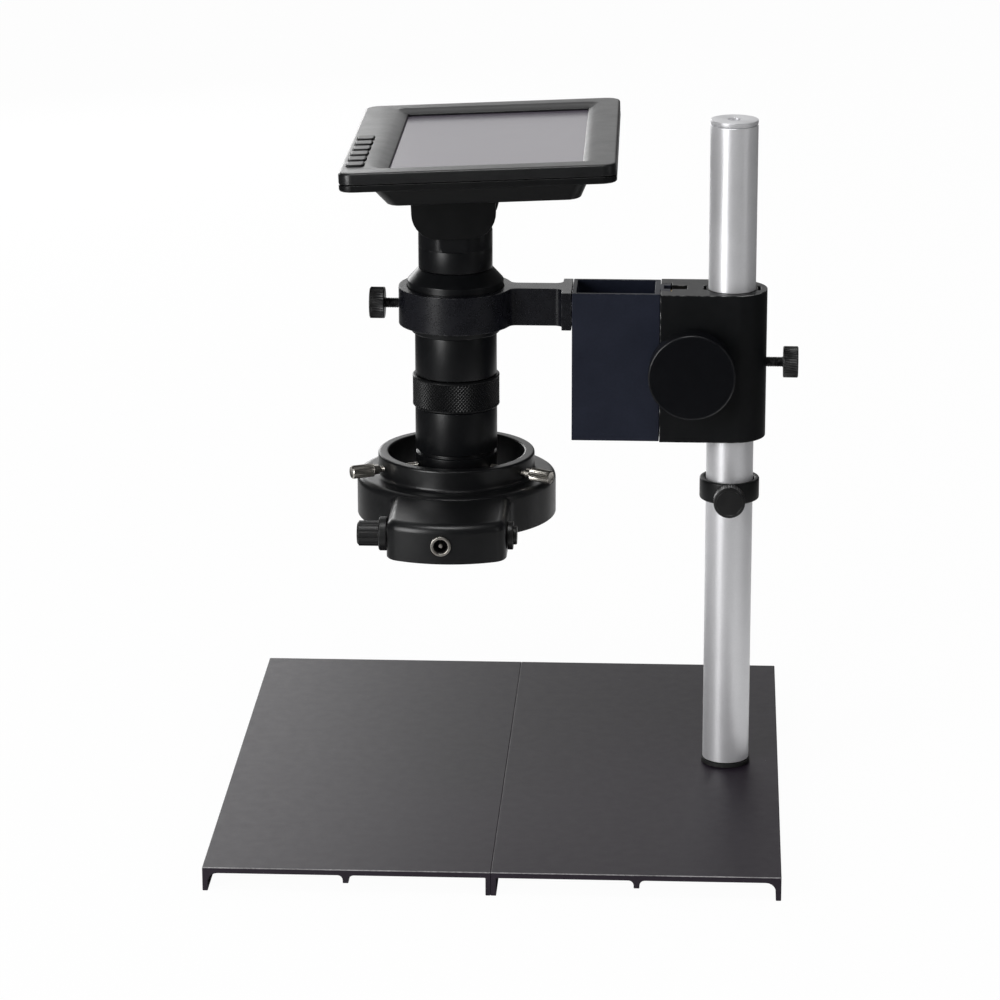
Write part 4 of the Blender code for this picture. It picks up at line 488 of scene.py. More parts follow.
pillar_anodised, tree, shader = new_finish("pillar_anodised")
shader.inputs["Metallic"].default_value = 0.6
shader.inputs["Anisotropic"].default_value = 0.5
shader.inputs["Anisotropic Rotation"].default_value = 0.25
colour, _ = grained(tree, shader, (0.80, 0.80, 0.82), (0.88, 0.88, 0.90), 0.0009, 0.42, 0.06)
wire(tree, colour, shader.inputs["Base Color"])
drawn_out = node_of(tree, "ShaderNodeMapping")
drawn_out.inputs["Scale"].default_value = (1, 1, 0.012)
wire(tree, node_of(tree, "ShaderNodeTexCoord").outputs["Object"], drawn_out.inputs["Vector"])
drawn_lines = noise(tree, drawn_out.outputs[0], 2600, 4.0)
embossed(tree, shader, drawn_lines, 0.05, 0.0001)

axis, radius, bottom, top = upright_axis("pillar")
section = [(0, bottom), (radius, bottom), (radius, top), (0, top)]
stands_for(spun("pillar_tube", eased(section, PILLAR_ROUND), axis), pillar_anodised, "pillar")
axis, radius, bottom, top = upright_axis("pillar_cap")
section = [(CAP_HOLE, top), (radius, top), (radius, top - CAP_PLATE), (radius - CAP_STEP, top - CAP_PLATE),
           (radius - CAP_STEP, top - CAP_UNDER), (CAP_SHANK, top - CAP_UNDER), (CAP_SHANK, bottom),
           (CAP_HOLE, bottom)]
stands_for(turned_ring("pillar_end_cap", section, CAP_ROUND, axis), pillar_anodised, "pillar_cap")
foot_rubber = finished("foot_rubber", (0.006, 0.006, 0.006), (0.012, 0.012, 0.012), grain=0.0005,
                       roughness=0.62, spread=0.15, bump=0.2)
kept_solid("pillar_foot", foot_rubber)

# Column block: a black anodised extrusion with the pillar's bore, the dovetail channel and the pinion's bore.
# A nylon liner in the bore lets it slide, and the screw on its right clamps it.
black_anodised = finished("black_anodised", (0.0030, 0.0034, 0.0040), (0.0052, 0.0057, 0.0065), grain=0.0005,
                          bump=0.06, wear_and_sheen_colour=(0.22, 0.22, 0.22), wear_and_sheen=0.50, wear_and_sheen_width=0.00025, dust=0.03,
                          level=0.32)
# The block's edges get a wide light grey line, partly scuffing and partly a painted highlight.
block_anodised = finished("block_anodised", (0.0026, 0.0030, 0.0036), (0.0046, 0.0051, 0.0059), grain=0.0005,
                          bump=0.06, wear_and_sheen_colour=(0.50, 0.50, 0.50), wear_and_sheen=0.54, wear_and_sheen_width=0.0005, dust=0.03,
                          level=0.28)
stands_for(softened("column_block"), block_anodised, "column_block")
liner_nylon = finished("liner_nylon", (0.006, 0.006, 0.006), (0.011, 0.011, 0.011), grain=0.001,
                       roughness=0.45, spread=0.12)
kept_solid("bore_liner", liner_nylon)

# Safety collar: a black turned ring below the block, held on the pillar by its own hand screw.
# It stops the head if the block is let go.
COLLAR_BORE, COLLAR_CHAMFER, COLLAR_ROUND = 0.0113, 0.0008, 0.0009
axis, radius, bottom, top = upright_axis("safety_collar")
section = [(COLLAR_BORE + COLLAR_CHAMFER, top), (radius, top), (radius, bottom),
           (COLLAR_BORE + COLLAR_CHAMFER, bottom), (COLLAR_BORE, bottom + COLLAR_CHAMFER),
           (COLLAR_BORE, top - COLLAR_CHAMFER)]
stands_for(turned_ring("safety_ring", section, COLLAR_ROUND, axis, 4), black_anodised, "safety_collar")

# Hand screws: black oxide steel, one pattern in three places, with a straight knurl and an M5 thread.
# They clamp the block on the pillar, the safety collar on the pillar, and the lens in the arm's ring.
HEAD_RADIUS, HEAD_LENGTH, HEAD_RIBS, RIB_DEPTH = 0.0073, 0.007, 36, 0.00035
HEAD_SOFT, HEAD_PLAIN, HEAD_DISH = 0.0005, 0.00075, 0.00015
SHANK_RADIUS, SHANK_CHAMFER, PITCH = 0.0024, 0.0004, 0.0008
screw_black = finished("screw_black", (0.0055, 0.0055, 0.0058), (0.010, 0.010, 0.0105), grain=0.0004,
                       roughness=0.36, spread=0.12, bump=0.08, wear_and_sheen_colour=(0.12, 0.12, 0.12), wear_and_sheen=0.5)
joint_of = {joint["child"]: joint for joint in frame["joints"]}


def outward(body):
    """A placing matrix with its Z along the turning axis of a body."""
    joint = joint_of[body]
    turn = Vector(joint["axis"]).to_track_quat("Z", "Y").to_matrix().to_4x4()
    return Matrix.Translation(joint["pos_m"]) @ turn


def saw(value):
    """A triangle wave of period 1 from 0 at whole numbers to 1 half way."""
    return 1 - abs(2 * (value % 1) - 1)


def cut_by(shank, thread_end, pitch, thread, head, ribs_from, ribs_to, ribs, rib_depth):
    """What a die and a knurl take off: a thread on the shank and straight ribs on the head."""
    def groove(radius, height, turn):
        if height < thread_end and radius > shank * 0.8:
            return thread * saw(height / pitch - turn / (2 * math.pi))
        if ribs_from < height < ribs_to and radius > head:
            return rib_depth * saw(turn * ribs / (2 * math.pi))
        return 0.0

    return groove


def shank_section(radius, tip, chamfer, end, count):
    """A shank's section from its chamfered tip, in steps that are short enough for its thread."""
    start = tip + chamfer
    return [(0, tip), (radius - chamfer, tip), (radius, start)] + [
        (radius, start + (end - tip - chamfer) * i / count) for i in range(1, count + 1)]


for body, tip, face in (("collar_screw", 0.0113, 0.0273), ("clamp_screw", 0.0122, 0.0310),
                        ("ring_screw", 0.0227, 0.0398)):
    under = face - HEAD_LENGTH
    section = shank_section(SHANK_RADIUS, tip, SHANK_CHAMFER, under, round((under - tip) / PITCH * 5))
    section += [(HEAD_RADIUS - HEAD_SOFT, under), (HEAD_RADIUS - HEAD_SOFT * 0.3, under + HEAD_SOFT * 0.3),
                (HEAD_RADIUS, under + HEAD_SOFT), (HEAD_RADIUS, under + HEAD_PLAIN),
                (HEAD_RADIUS, face - HEAD_PLAIN), (HEAD_RADIUS, face - HEAD_SOFT),
                (HEAD_RADIUS - HEAD_SOFT * 0.3, face - HEAD_SOFT * 0.3), (HEAD_RADIUS - HEAD_SOFT, face),
                (HEAD_RADIUS * 0.82, face), (HEAD_RADIUS * 0.80, face - HEAD_DISH), (0, face - HEAD_DISH)]
    groove = cut_by(SHANK_RADIUS, under - SHANK_CHAMFER, PITCH, PITCH * 0.42, HEAD_RADIUS * 0.95,
                    under + 0.0006, face - 0.0006, HEAD_RIBS, RIB_DEPTH)
    screw = spun(body + "_turned", section, outward(body), HEAD_RIBS * 4, groove=groove)
    stands_for(screw, screw_black, body)

# Focus drive: a steel pinion on a shaft across the block, with a black turned knob pressed on each end.
# The knobs' faces are flat and finely turned, and their rims are scuffed and carry a bright painted highlight.
KNOB_RADIUS, KNOB_FACE, KNOB_THICK, KNOB_ROUND = 0.0200, 0.0315, 0.012, 0.0010
KNOB_HOLLOW, KNOB_HOLLOW_DEPTH, KNOB_HUB, KNOB_BORE, KNOB_BORE_DEPTH = 0.0170, 0.003, 0.008, 0.0028, 0.009
# The knob's light grey rim colour is a painted highlight over scuffing.
knob_black = finished("knob_black", (0.0022, 0.0024, 0.0034), (0.0034, 0.0038, 0.0050), roughness=0.21,
                      spread=0.06, bump=0.02, wear_and_sheen_colour=(0.20, 0.20, 0.21), wear_and_sheen=0.72, wear_and_sheen_width=0.0005, level=0.34)
pinion_place = Matrix.Translation(joint_of["pinion"]["pos_m"])
for node, quarter_turn in (("focus_knob_front", 90), ("focus_knob_rear", -90)):
    back = KNOB_FACE - KNOB_THICK
    section = [(0, KNOB_FACE), (KNOB_RADIUS, KNOB_FACE), (KNOB_RADIUS, back), (KNOB_HOLLOW, back),
               (KNOB_HOLLOW, back + KNOB_HOLLOW_DEPTH), (KNOB_HUB, back + KNOB_HOLLOW_DEPTH), (KNOB_HUB, back),
               (KNOB_BORE, back), (KNOB_BORE, back + KNOB_BORE_DEPTH), (0, back + KNOB_BORE_DEPTH)]
    across = pinion_place @ Matrix.Rotation(math.radians(quarter_turn), 4, "X")
    knob = spun(node + "_turned", eased(section, KNOB_ROUND, 5), across, 144)
    stands_for(knob, knob_black, node)
gear_steel = finished("gear_steel", (0.46, 0.46, 0.46), (0.58, 0.58, 0.58), grain=0.0005, roughness=0.30,
                      spread=0.15, bump=0.06, metallic=1.0)
kept_solid("pinion_shaft", gear_steel)

# Slider: a thin-walled extrusion, anodised blue-black, whose dovetail tongue runs in the block's channel.
# The brass rack is screwed on from inside it. Its face is drawn up to the block, with no gap to see through.
FACE_GAP = 0.0004
slider_blue = finished("slider_blue", (0.0060, 0.0085, 0.0185), (0.0115, 0.0150, 0.0310), grain=0.0011,
                       roughness=0.46, bump=0.10, wear_and_sheen_colour=(0.26, 0.27, 0.30), wear_and_sheen=0.48, dust=0.03, level=0.3)
slider = stands_for(softened("slider_box"), slider_blue, "slider_box")
block_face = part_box("column_block")[0].x
for corner in slider.data.vertices:
    if block_face - 0.0013 < corner.co.x < block_face - FACE_GAP:
        corner.co.x += FACE_GAP
rack_brass = finished("rack_brass", (0.50, 0.36, 0.15), (0.62, 0.46, 0.21), roughness=0.32, spread=0.15,
                      metallic=1.0)
kept_solid("gear_rack", rack_brass)
for node in ("rack_screw_1", "rack_screw_2", "arm_screw_1", "arm_screw_2", "hinge_pin"):
    kept_solid(node, zinc_plate)

# Lens arm: one black anodised extrusion with a ring for the lens, a bar and a foot, sawn to its height.
# Two screws from inside the slider hold the foot.
arm_anodised = finished("arm_anodised", (0.0040, 0.0042, 0.0060), (0.0085, 0.0088, 0.0125), roughness=0.28,
                        spread=0.14, bump=0.035, wear_and_sheen_colour=(0.26, 0.26, 0.27), wear_and_sheen=0.52, wear_and_sheen_width=0.00025,
                        dust=0.03, level=0.55)
stands_for(softened("lens_arm"), arm_anodised, "lens_arm")

# Lens column: turned black anodised barrels on one long core, with a cone at the top that rests in the arm.
# Each barrel has rounded ends, so that a thin dark line shows between them.
LENS_BORE, BARREL_ROUND = 0.0153, 0.0006
CONE_TOP, CONE_DROP, CONE_RIM, CONE_SPIGOT, CONE_ROUND = 0.0172, 0.0056, 0.0028, 0.0206, 0.0005
CELL_STEP, CELL_NECK, CELL_MOUTH, CELL_LIP, CELL_ROUND = 0.0012, 0.0015, 0.0149, 0.0134, 0.0004
LIP_UNDER, LIP_TOP = 0.0091, 0.0103
barrel_black = finished("barrel_black", (0.0030, 0.0033, 0.0040), (0.0048, 0.0052, 0.0062), grain=0.0004,
                        roughness=0.33, spread=0.08, bump=0.04, wear_and_sheen_colour=(0.12, 0.12, 0.12), wear_and_sheen=0.45, level=0.4)
for node in ("lens_barrel_upper", "lens_barrel_lower"):
    axis, radius, bottom, top = upright_axis(node)
    section = [(LENS_BORE, top), (radius, top), (radius, bottom), (LENS_BORE, bottom)]
    stands_for(turned_ring(node + "_turned", section, BARREL_ROUND, axis), barrel_black, node)
axis, radius, bottom, top = upright_axis("lens_adapter")
section = [(LENS_BORE, top), (CONE_TOP, top), (radius, top - CONE_DROP), (radius, bottom + CONE_RIM),
           (CONE_SPIGOT, bottom + CONE_RIM), (CONE_SPIGOT, bottom), (LENS_BORE, bottom)]
stands_for(turned_ring("lens_cone", section, CONE_ROUND, axis), barrel_black, "lens_adapter")
axis, radius, bottom, top = upright_axis("front_cell")
section = [(LENS_BORE, top), (radius - CELL_STEP, top), (radius - CELL_STEP, top - CELL_NECK),
           (radius, top - CELL_NECK), (radius, bottom), (CELL_MOUTH, bottom), (CELL_MOUTH, bottom + LIP_UNDER),
           (CELL_LIP, bottom + LIP_UNDER), (CELL_LIP, bottom + LIP_TOP), (LENS_BORE, bottom + LIP_TOP)]
stands_for(turned_ring("front_barrel", section, CELL_ROUND, axis), barrel_black, "front_cell")
kept_solid("lens_core", barrel_black)

# Zoom ring: a black anodised ring that turns on the core between the two barrels.
# A fine diamond knurl is pressed into it between two plain edges.
DIAMONDS, DIAMOND_ROWS, DIAMOND_DEPTH = 76, 14, 0.00042
ZOOM_EDGE, ZOOM_ROUND, KNURL_RUN_OUT = 0.0012, 0.0005, 0.0002
zoom_axis, zoom_radius, bottom, top = upright_axis("zoom_ring")
knurl_low, knurl_high = bottom + ZOOM_EDGE, top - ZOOM_EDGE
row_height = (knurl_high - knurl_low) / DIAMOND_ROWS


def diamond(at_radius, height, turn):
    """The depth of every second point of the knurl's lattice."""
    if at_radius < zoom_radius * 0.99 or not knurl_low - 0.00001 < height < knurl_high + 0.00001:
        return 0.0
    column = round(turn * DIAMONDS / math.pi)
    row = round((knurl_high - height) / row_height)
    return DIAMOND_DEPTH if (column + row) % 2 else 0.0


def faceted(piece):
    """Splits the knurl's quads along their valleys and leaves the facets flat."""
    shape = bmesh.new()
    shape.from_mesh(piece.data)
    middle = zoom_axis.translation

    def reach(corner):
        return math.hypot(corner.co.x - middle.x, corner.co.y - middle.y)

    band = [face for face in shape.faces if len(face.verts) == 4
            and knurl_low - 0.0003 < face.calc_center_median().z < knurl_high + 0.0003
            and min(reach(corner) for corner in face.verts) > zoom_radius * 0.9]
    for face in band:
        deep = [corner for corner in face.verts if reach(corner) < zoom_radius - DIAMOND_DEPTH / 2]
        halves = [face]
        if len(deep) == 2:
            halves.append(bmesh.utils.face_split(face, deep[0], deep[1])[0])
        for half in halves:
            half.smooth = False
    shape.to_mesh(piece.data)
    shape.free()
    return piece


section = [(LENS_BORE, bottom), (LENS_BORE, top), (zoom_radius - ZOOM_ROUND, top),
           (zoom_radius, top - ZOOM_ROUND), (zoom_radius, knurl_high + KNURL_RUN_OUT)]
section += [(zoom_radius, knurl_high - row_height * i) for i in range(DIAMOND_ROWS + 1)]
section += [(zoom_radius, knurl_low - KNURL_RUN_OUT), (zoom_radius, bottom + ZOOM_ROUND),
            (zoom_radius - ZOOM_ROUND, bottom)]
zoom_black = finished("zoom_black", (0.0030, 0.0032, 0.0038), (0.0050, 0.0053, 0.0060), grain=0.0004,
                      spread=0.08, bump=0.03, level=0.38)
knurl = faceted(spun("zoom_knurl", section, zoom_axis, DIAMONDS * 2, ring=True, groove=diamond))
stands_for(knurl, zoom_black, "zoom_ring")

# Lenses: three pieces of coated glass, held in the front barrel and inside the core.
# Only the front one shows, and only from below.


def clear_finish(name, ior, dark, light, grain, roughness, spread):
    """Glass or clear plastic, a little uneven in its tint and its polish."""
    made, tree, shader = new_finish(name)
    shader.inputs["Transmission Weight"].default_value = 1.0
    shader.inputs["IOR"].default_value = ior
    colour, _ = grained(tree, shader, dark, light, grain, roughness, spread)
    wire(tree, colour, shader.inputs["Base Color"])
    return made


lens_glass = clear_finish("lens_glass", 1.52, (0.80, 0.88, 0.96), (0.90, 0.92, 1.0), 0.004, 0.03, 0.03)
for node in ("front_lens", "zoom_lens", "rear_lens"):
    kept_solid(node, lens_glass)

# Camera: a turned black tube and head on top of the lens, with the sensor's board inside.
# The head carries the lug on which the screen tilts. The three green boards share one finish.
TUBE_BORE, TUBE_MOUTH, MOUTH_DEPTH, SLEEVE_SOFT = 0.0157, 0.0170, 0.0010, 0.0003
axis, radius, bottom, top = upright_axis("camera_tube")
sleeve_radius, sleeve_top = radius + 0.00004, top + 0.0005
section = [(TUBE_BORE, top - MOUTH_DEPTH), (TUBE_MOUTH, top - MOUTH_DEPTH), (TUBE_MOUTH, sleeve_top),
           (sleeve_radius, sleeve_top), (sleeve_radius, bottom), (TUBE_BORE, bottom)]
stands_for(turned_ring("camera_sleeve", section, SLEEVE_SOFT, axis), barrel_black, "camera_tube")
stands_for(softened("camera_head", SLEEVE_SOFT), barrel_black, "camera_head")
board_green = finished("board_green", (0.010, 0.075, 0.030), (0.020, 0.125, 0.050), grain=0.0015,
                       roughness=0.35, spread=0.15)
for node in ("sensor_board", "main_board", "control_board"):
    kept_solid(node, board_green)

# Screen: a moulded black housing in two halves on a U bracket that tilts on the camera's lug.
# Its front slopes down to the display, and the parting line runs along its side.
MOULDED_EDGE = 0.0003
screen_plastic = finished("screen_plastic", (0.0055, 0.0058, 0.0062), (0.0085, 0.0090, 0.0095), grain=0.0007,
                          roughness=0.34, bump=0.10, wear_and_sheen_colour=(0.04, 0.04, 0.04), wear_and_sheen=0.45, level=0.66)
# The rear shell and the tilt bracket take a darker copy of the same plastic with weaker reflections, as painted
# shade.
shell_plastic_shaded = finished("shell_plastic_shaded", (0.0032, 0.0034, 0.0037), (0.0052, 0.0055, 0.0058), grain=0.0007,
                         roughness=0.38, bump=0.10, wear_and_sheen_colour=(0.04, 0.04, 0.04), wear_and_sheen=0.4, level=0.26)
stands_for(softened("screen_front_frame", MOULDED_EDGE), screen_plastic, "screen_front_frame")
for node in ("screen_rear_shell", "tilt_bracket"):
    stands_for(softened(node, MOULDED_EDGE), shell_plastic_shaded, node)
# The display's light lilac-grey colour is a painted reflection of the white backdrop; its own gloss reflects as
# well.
display_with_painted_reflection = finished("display_with_painted_reflection", (0.150, 0.134, 0.166), (0.168, 0.150, 0.186), grain=0.004,
                        roughness=0.16, spread=0.05, bump=0.01, level=0.9)
kept_solid("lcd_panel", display_with_painted_reflection)

# Buttons: six black moulded keys in a row along the screen's near edge.
# Each stands in its own window of the front frame and springs back when it is let go.
SMALL_EDGE = 0.0002
button_plastic = finished("button_plastic", (0.0050, 0.0050, 0.0055), (0.0085, 0.0085, 0.0090), bump=0.1)
for number in range(1, 7):
    node = f"button_{number}"
    stands_for(softened(node, SMALL_EDGE), button_plastic, node)

# Ring light: a moulded black body with an upstanding collar, and the control box grown out of its front.
# The box has a bowed front, rounded corners and top, and a flare on each side where it meets the ring.
# A clear cover over the board of white LEDs closes the ring below.
RING_REACH, COLLAR_REACH, OPENING, RING_WALL, RING_HEIGHT = 0.0465, 0.0366, 0.0318, 0.002, 0.0192
BOX_SIDE, BOX_FRONT, BOX_BOW, BOX_CORNER, BOX_FLARE = 0.0272, 0.0854, 0.056, 0.008, 0.006
BOX_TOP_ROUND, BOX_FOOT_ROUND, BOX_DROP, BOX_WALL = 0.0042, 0.0004, 0.0010, 0.0022
TOP_ROUND_STEPS, RING_SIDES = 8, 192
JACK_BIT, POT_BIT, FUSE_BIT, SCREW_BIT = 0.0043, 0.0031, 0.0039, 0.0017
light_plastic = finished("light_plastic", (0.0036, 0.0038, 0.0044), (0.0060, 0.0063, 0.0070), roughness=0.33,
                         bump=0.07, wear_and_sheen_colour=(0.04, 0.04, 0.04), wear_and_sheen=0.4, level=0.54)
lens_place = Matrix.Translation(joint_of["ring_light"]["pos_m"][:2] + [0])
housing_low, housing_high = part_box("light_housing")
bottom, collar_top = housing_low.z, housing_high.z
shoulder = bottom + RING_HEIGHT
box_top = shoulder - BOX_DROP


def arc_points(centre, radius, start, end, steps):
    return [(centre[0] + radius * math.cos(math.radians(start + (end - start) * i / steps)),
             centre[1] + radius * math.sin(math.radians(start + (end - start) * i / steps)))
            for i in range(steps + 1)]


def box_plan(inset, flared=True):
    """Half the plan of the control box drawn in by inset, from the middle of its bowed front to its back."""
    corner, bow, side = BOX_CORNER - inset, BOX_BOW - inset, BOX_SIDE - inset
    bow_y = BOX_BOW - BOX_FRONT
    corner_x = side - corner
    corner_y = bow_y - math.sqrt((bow - corner) ** 2 - corner_x ** 2)
    corner_start = math.degrees(math.atan2(corner_y - bow_y, corner_x))
    half = arc_points((0, bow_y), bow, -90, corner_start, 12)[:-1]
    half += arc_points((corner_x, corner_y), corner, corner_start, 0, 10)
    if flared:
        flare, ring = BOX_FLARE + inset, RING_REACH - inset
        flare_x = side + flare
        flare_y = -math.sqrt((ring + flare) ** 2 - flare_x ** 2)
        half += arc_points((flare_x, flare_y), flare, 180, math.degrees(math.atan2(-flare_y, -flare_x)), 8)
        half += [(side * 0.9, -(RING_REACH + OPENING) / 2)]
    else:
        half += [(side, -math.sqrt(RING_REACH ** 2 - side ** 2))]
    return half


def lofted(name, levels):
    """A closed body through (half plan, height) levels from the top down, mirrored across the lens's plane."""
    shape = bmesh.new()
    rows = []
    for half, height in levels:
        whole = [(-x, y) for x, y in reversed(half[1:])] + half
        rows.append([shape.verts.new(lens_place @ Vector((x, y, height))) for x, y in whole])
    for first, second in zip(rows, rows[1:]):
        for i in range(len(first)):
            j = (i + 1) % len(first)
            shape.faces.new((first[i], first[j], second[j], second[i]))
    shape.faces.new(rows[0])
    shape.faces.new(reversed(rows[-1]))
    bmesh.ops.recalc_face_normals(shape, faces=shape.faces)
    return piece_of(name, shape)


def carved(piece, *steps):
    """Joins or cuts a piece by others, (operation, object) in turn, and puts the result in its mesh."""
    for operation, other in steps:
        change = piece.modifiers.new("shape", "BOOLEAN")
        change.operation, change.object, change.solver = operation, other, "EXACT"
    bpy.context.view_layer.update()
    result = bpy.data.meshes.new_from_object(piece.evaluated_get(bpy.context.evaluated_depsgraph_get()))
    piece.modifiers.clear()
    piece.data = result
    for _, other in steps:
        bpy.data.objects.remove(other)
    sheen_of(result, 34)
    even_shading(piece)


def drill(name, radius, start, end):
    """A round bit between two points about the lens's axis."""
    start, end = Vector(start), Vector(end)
    turn = (end - start).to_track_quat("Z", "Y").to_matrix().to_4x4()
    length = (end - start).length
    return spun(name, [(0, 0), (radius, 0), (radius, length), (0, length)],
                lens_place @ Matrix.Translation(start) @ turn, 32)


def middle_of(node):
    low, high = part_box(node)
    return (low + high) / 2 - lens_place.translation


housing = turned_ring("ring_housing", [
    (OPENING, bottom, 0), (OPENING, collar_top, 0.0010), (COLLAR_REACH, collar_top, 0.0012),
    (COLLAR_REACH, shoulder, 0.0016), (RING_REACH, shoulder, 0.0032), (RING_REACH, bottom, 0.0003)],
    0.0003, lens_place, 6, RING_SIDES)
box_levels = []
for step in range(TOP_ROUND_STEPS + 1):
    lean = math.radians(90 * (1 - step / TOP_ROUND_STEPS))
    box_levels.append((box_plan(BOX_TOP_ROUND * (1 - math.cos(lean))),
                       box_top - BOX_TOP_ROUND * (1 - math.sin(lean))))
box_levels += [(box_plan(0), bottom + BOX_FOOT_ROUND), (box_plan(BOX_FOOT_ROUND), bottom)]
box_body = lofted("box_body", box_levels)
ring_hollow = spun("ring_hollow", [(OPENING + RING_WALL, shoulder - RING_WALL),
                                   (RING_REACH - RING_WALL, shoulder - RING_WALL),
                                   (RING_REACH - RING_WALL, bottom - RING_WALL),
                                   (OPENING + RING_WALL, bottom - RING_WALL)], lens_place, RING_SIDES, ring=True)
box_hollow = lofted("box_hollow", [(box_plan(BOX_WALL, False), box_top - BOX_WALL),
                                   (box_plan(BOX_WALL, False), bottom - BOX_WALL)])
jack, pot, fuse = middle_of("dc_jack"), middle_of("dimmer_pot"), middle_of("fuse_holder")
holes = [drill("jack_bit", JACK_BIT, (jack.x, -BOX_FRONT - 0.004, jack.z), (jack.x, -BOX_FRONT + 0.008, jack.z)),
         drill("pot_bit", POT_BIT, (-BOX_SIDE - 0.004, pot.y, pot.z), (-BOX_SIDE + 0.004, pot.y, pot.z)),
         drill("fuse_bit", FUSE_BIT, (BOX_SIDE + 0.004, fuse.y, fuse.z), (BOX_SIDE - 0.004, fuse.y, fuse.z))]
for number in range(1, 4):
    joint = joint_of[f"light_screw_{number}"]
    away = Vector(joint["axis"])
    height = Vector((0, 0, joint["pos_m"][2]))
    holes.append(drill(f"screw_bit_{number}", SCREW_BIT, height + away * 0.028, height + away * 0.040))
carved(housing, ("UNION", box_body), ("DIFFERENCE", ring_hollow), ("DIFFERENCE", box_hollow),
       *[("DIFFERENCE", hole) for hole in holes])
stands_for(housing, light_plastic, "light_housing")
kept_solid("control_box_cover", light_plastic)
led_white = finished("led_white", (0.70, 0.70, 0.66), (0.80, 0.80, 0.78), grain=0.001)
led_yellow = finished("led_yellow", (0.74, 0.60, 0.20), (0.86, 0.74, 0.32), grain=0.0008, roughness=0.30)
leds = stands_for(softened("led_board", 0.00012), led_white, "led_board")
led_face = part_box("led_board")[0].z + 0.0010
second_finish(leds, led_yellow, lambda face: face.center.z < led_face - 0.0002)
clear_cover = clear_finish("clear_cover", 1.45, (0.88, 0.90, 0.94), (0.96, 0.97, 1.0), 0.003, 0.12, 0.08)
kept_solid("light_cover", clear_cover)

# Control box fittings: the power socket in front, the dimmer's ribbed knob on the left, the fuse on the right.
# The socket has a nickel-plated ring and pin round a black insert; knob and fuse cap are moulded black plastic.
JACK_FRONT, JACK_RING, JACK_BARREL, JACK_BORE = BOX_FRONT + 0.0012, 0.0046, 0.0040, 0.0033
JACK_RIM, JACK_DEPTH, INSERT_LIP, INSERT_FLOOR, INSERT_DEPTH = 0.0009, 0.0125, 0.0007, 0.0080, 0.0120
INSERT_BORE, PIN_RADIUS, PIN_TIP, PIN_FOOT = 0.0030, 0.0009, 0.0010, 0.0081
FUSE_RIM, FUSE_CAP, FUSE_BODY = 0.0066, 0.0043, 0.0036
FUSE_RIM_HEIGHT, FUSE_HEIGHT, FUSE_DEPTH = 0.0025, 0.0042, 0.0114
nickel = finished("nickel", (0.50, 0.48, 0.44), (0.64, 0.61, 0.56), grain=0.0005, roughness=0.33,
                  spread=0.15, metallic=1.0)
jack_black = finished("jack_black", (0.004, 0.004, 0.004), (0.008, 0.008, 0.008), grain=0.0004, roughness=0.35)
knob_plastic = finished("knob_plastic", (0.0050, 0.0050, 0.0053), (0.0090, 0.0090, 0.0093), grain=0.0005,
                        bump=0.1)
jack_place = lens_place @ Matrix.Translation((jack.x, 0, jack.z)) @ Matrix.Rotation(math.radians(90), 4, "X")
section = [(JACK_BORE, JACK_FRONT, 0.0004), (JACK_RING, JACK_FRONT, 0.0004),
           (JACK_RING, JACK_FRONT - JACK_RIM, 0.0001), (JACK_BARREL, JACK_FRONT - JACK_RIM, 0.0001),
           (JACK_BARREL, JACK_FRONT - JACK_DEPTH, 0.0002), (JACK_BORE, JACK_FRONT - JACK_DEPTH, 0.0001)]
stands_for(turned_ring("jack_shell", section, 0.0002, jack_place, 4, 64), nickel, "dc_jack")
insert_reach = JACK_BORE - 0.00002
section = [(0, JACK_FRONT - INSERT_FLOOR), (INSERT_BORE, JACK_FRONT - INSERT_FLOOR, 0.0003),
           (INSERT_BORE, JACK_FRONT - INSERT_LIP, 0.0002), (insert_reach, JACK_FRONT - INSERT_LIP, 0.0001),
           (insert_reach, JACK_FRONT - INSERT_DEPTH, 0.0003), (0, JACK_FRONT - INSERT_DEPTH)]
goes_with(spun("jack_insert", eased(section, 0.0002, 3), jack_place, 48), jack_black, "dc_jack")
section = [(0, JACK_FRONT - PIN_TIP), (PIN_RADIUS, JACK_FRONT - PIN_TIP, 0.0008),
           (PIN_RADIUS, JACK_FRONT - PIN_FOOT), (0, JACK_FRONT - PIN_FOOT)]
goes_with(spun("jack_pin", eased(section, 0.0002, 5), jack_place, 32), nickel, "dc_jack")
kept_solid("dimmer_pot", zinc_plate)
stands_for(softened("dimmer_knob", SMALL_EDGE), knob_plastic, "dimmer_knob")
fuse_place = lens_place @ Matrix.Translation((0, fuse.y, fuse.z)) @ Matrix.Rotation(math.radians(90), 4, "Y")
seat = BOX_SIDE + 0.0003
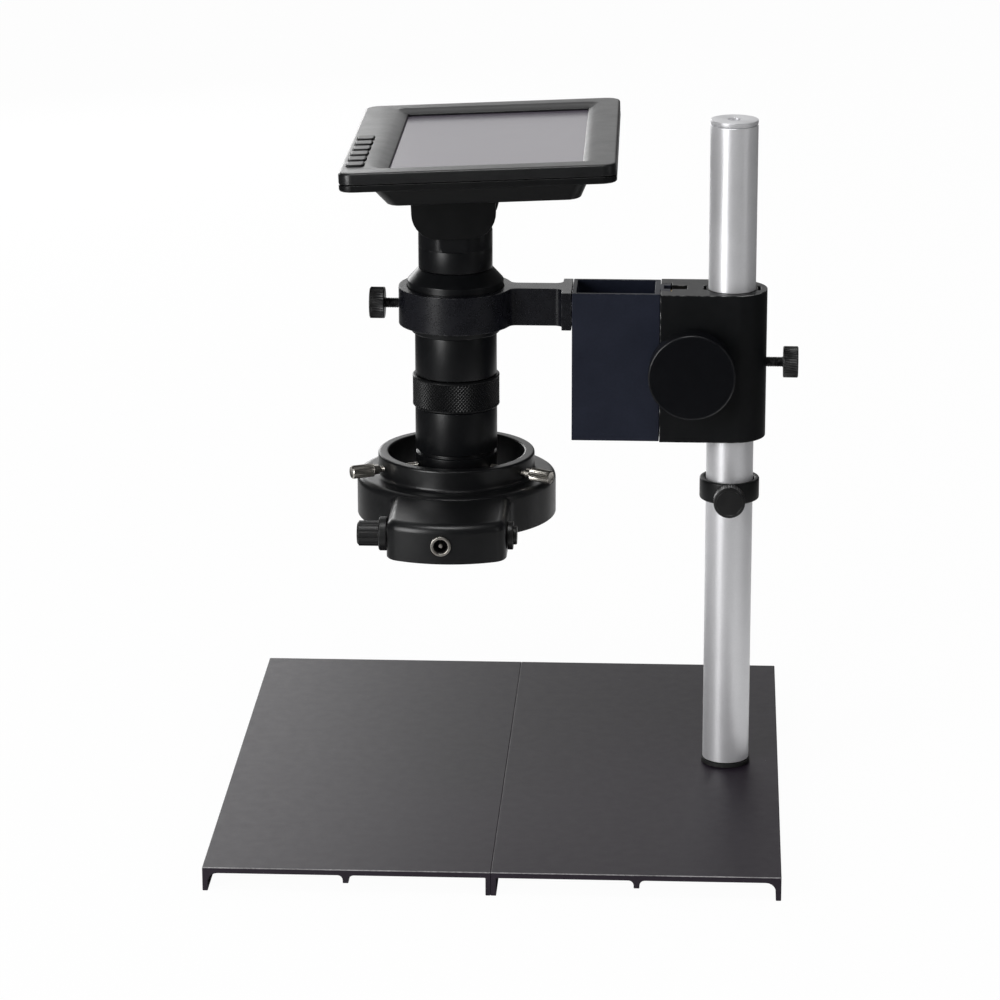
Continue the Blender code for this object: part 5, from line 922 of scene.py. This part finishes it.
section = [(0, seat + FUSE_HEIGHT), (FUSE_CAP, seat + FUSE_HEIGHT, 0.0006),
           (FUSE_CAP, seat + FUSE_RIM_HEIGHT, 0.0002), (FUSE_RIM, seat + FUSE_RIM_HEIGHT, 0.0006),
           (FUSE_RIM, seat, 0.0002), (FUSE_BODY, seat, 0.0001), (FUSE_BODY, seat - FUSE_DEPTH, 0.0004),
           (0, seat - FUSE_DEPTH)]
stands_for(spun("fuse_cap", eased(section, 0.0003, 4), fuse_place, 48), knob_plastic, "fuse_holder")

# Thumbscrews: three slim nickel-plated screws through the light's collar, with straight-knurled heads.
# Their tips bear on the lens's front barrel and centre the light on it.
THUMB_TIP, THUMB_FACE, THUMB_HEAD, THUMB_NECK = 0.0193, 0.0524, 0.011, 0.003
THUMB_SHANK, THUMB_CHAMFER, THUMB_PITCH, THUMB_THREAD = 0.0014, 0.0003, 0.0005, 0.00022
THUMB_NECK_RADIUS, THUMB_RADIUS, THUMB_END = 0.0022, 0.0031, 0.0026
THUMB_RIBS, THUMB_RIB_DEPTH, THUMB_STEPS = 24, 0.00030, 170
under = THUMB_FACE - THUMB_HEAD
neck = under - THUMB_NECK
section = shank_section(THUMB_SHANK, THUMB_TIP, THUMB_CHAMFER, neck, THUMB_STEPS)
section += [(THUMB_NECK_RADIUS, neck + 0.0006), (THUMB_NECK_RADIUS, under), (THUMB_END, under),
            (THUMB_RADIUS, under + 0.0005), (THUMB_RADIUS, under + 0.0008), (THUMB_RADIUS, THUMB_FACE - 0.0008),
            (THUMB_RADIUS, THUMB_FACE - 0.0005), (THUMB_END, THUMB_FACE), (0.0023, THUMB_FACE),
            (0.0021, THUMB_FACE - 0.0001), (0, THUMB_FACE - 0.0001)]
groove = cut_by(THUMB_SHANK, neck, THUMB_PITCH, THUMB_THREAD, 0.0030, under + 0.0007, THUMB_FACE - 0.0007,
                THUMB_RIBS, THUMB_RIB_DEPTH)
for number in range(1, 4):
    body = f"light_screw_{number}"
    screw = spun(body + "_turned", section, outward(body), THUMB_RIBS * 4, groove=groove)
    stands_for(screw, nickel, body)
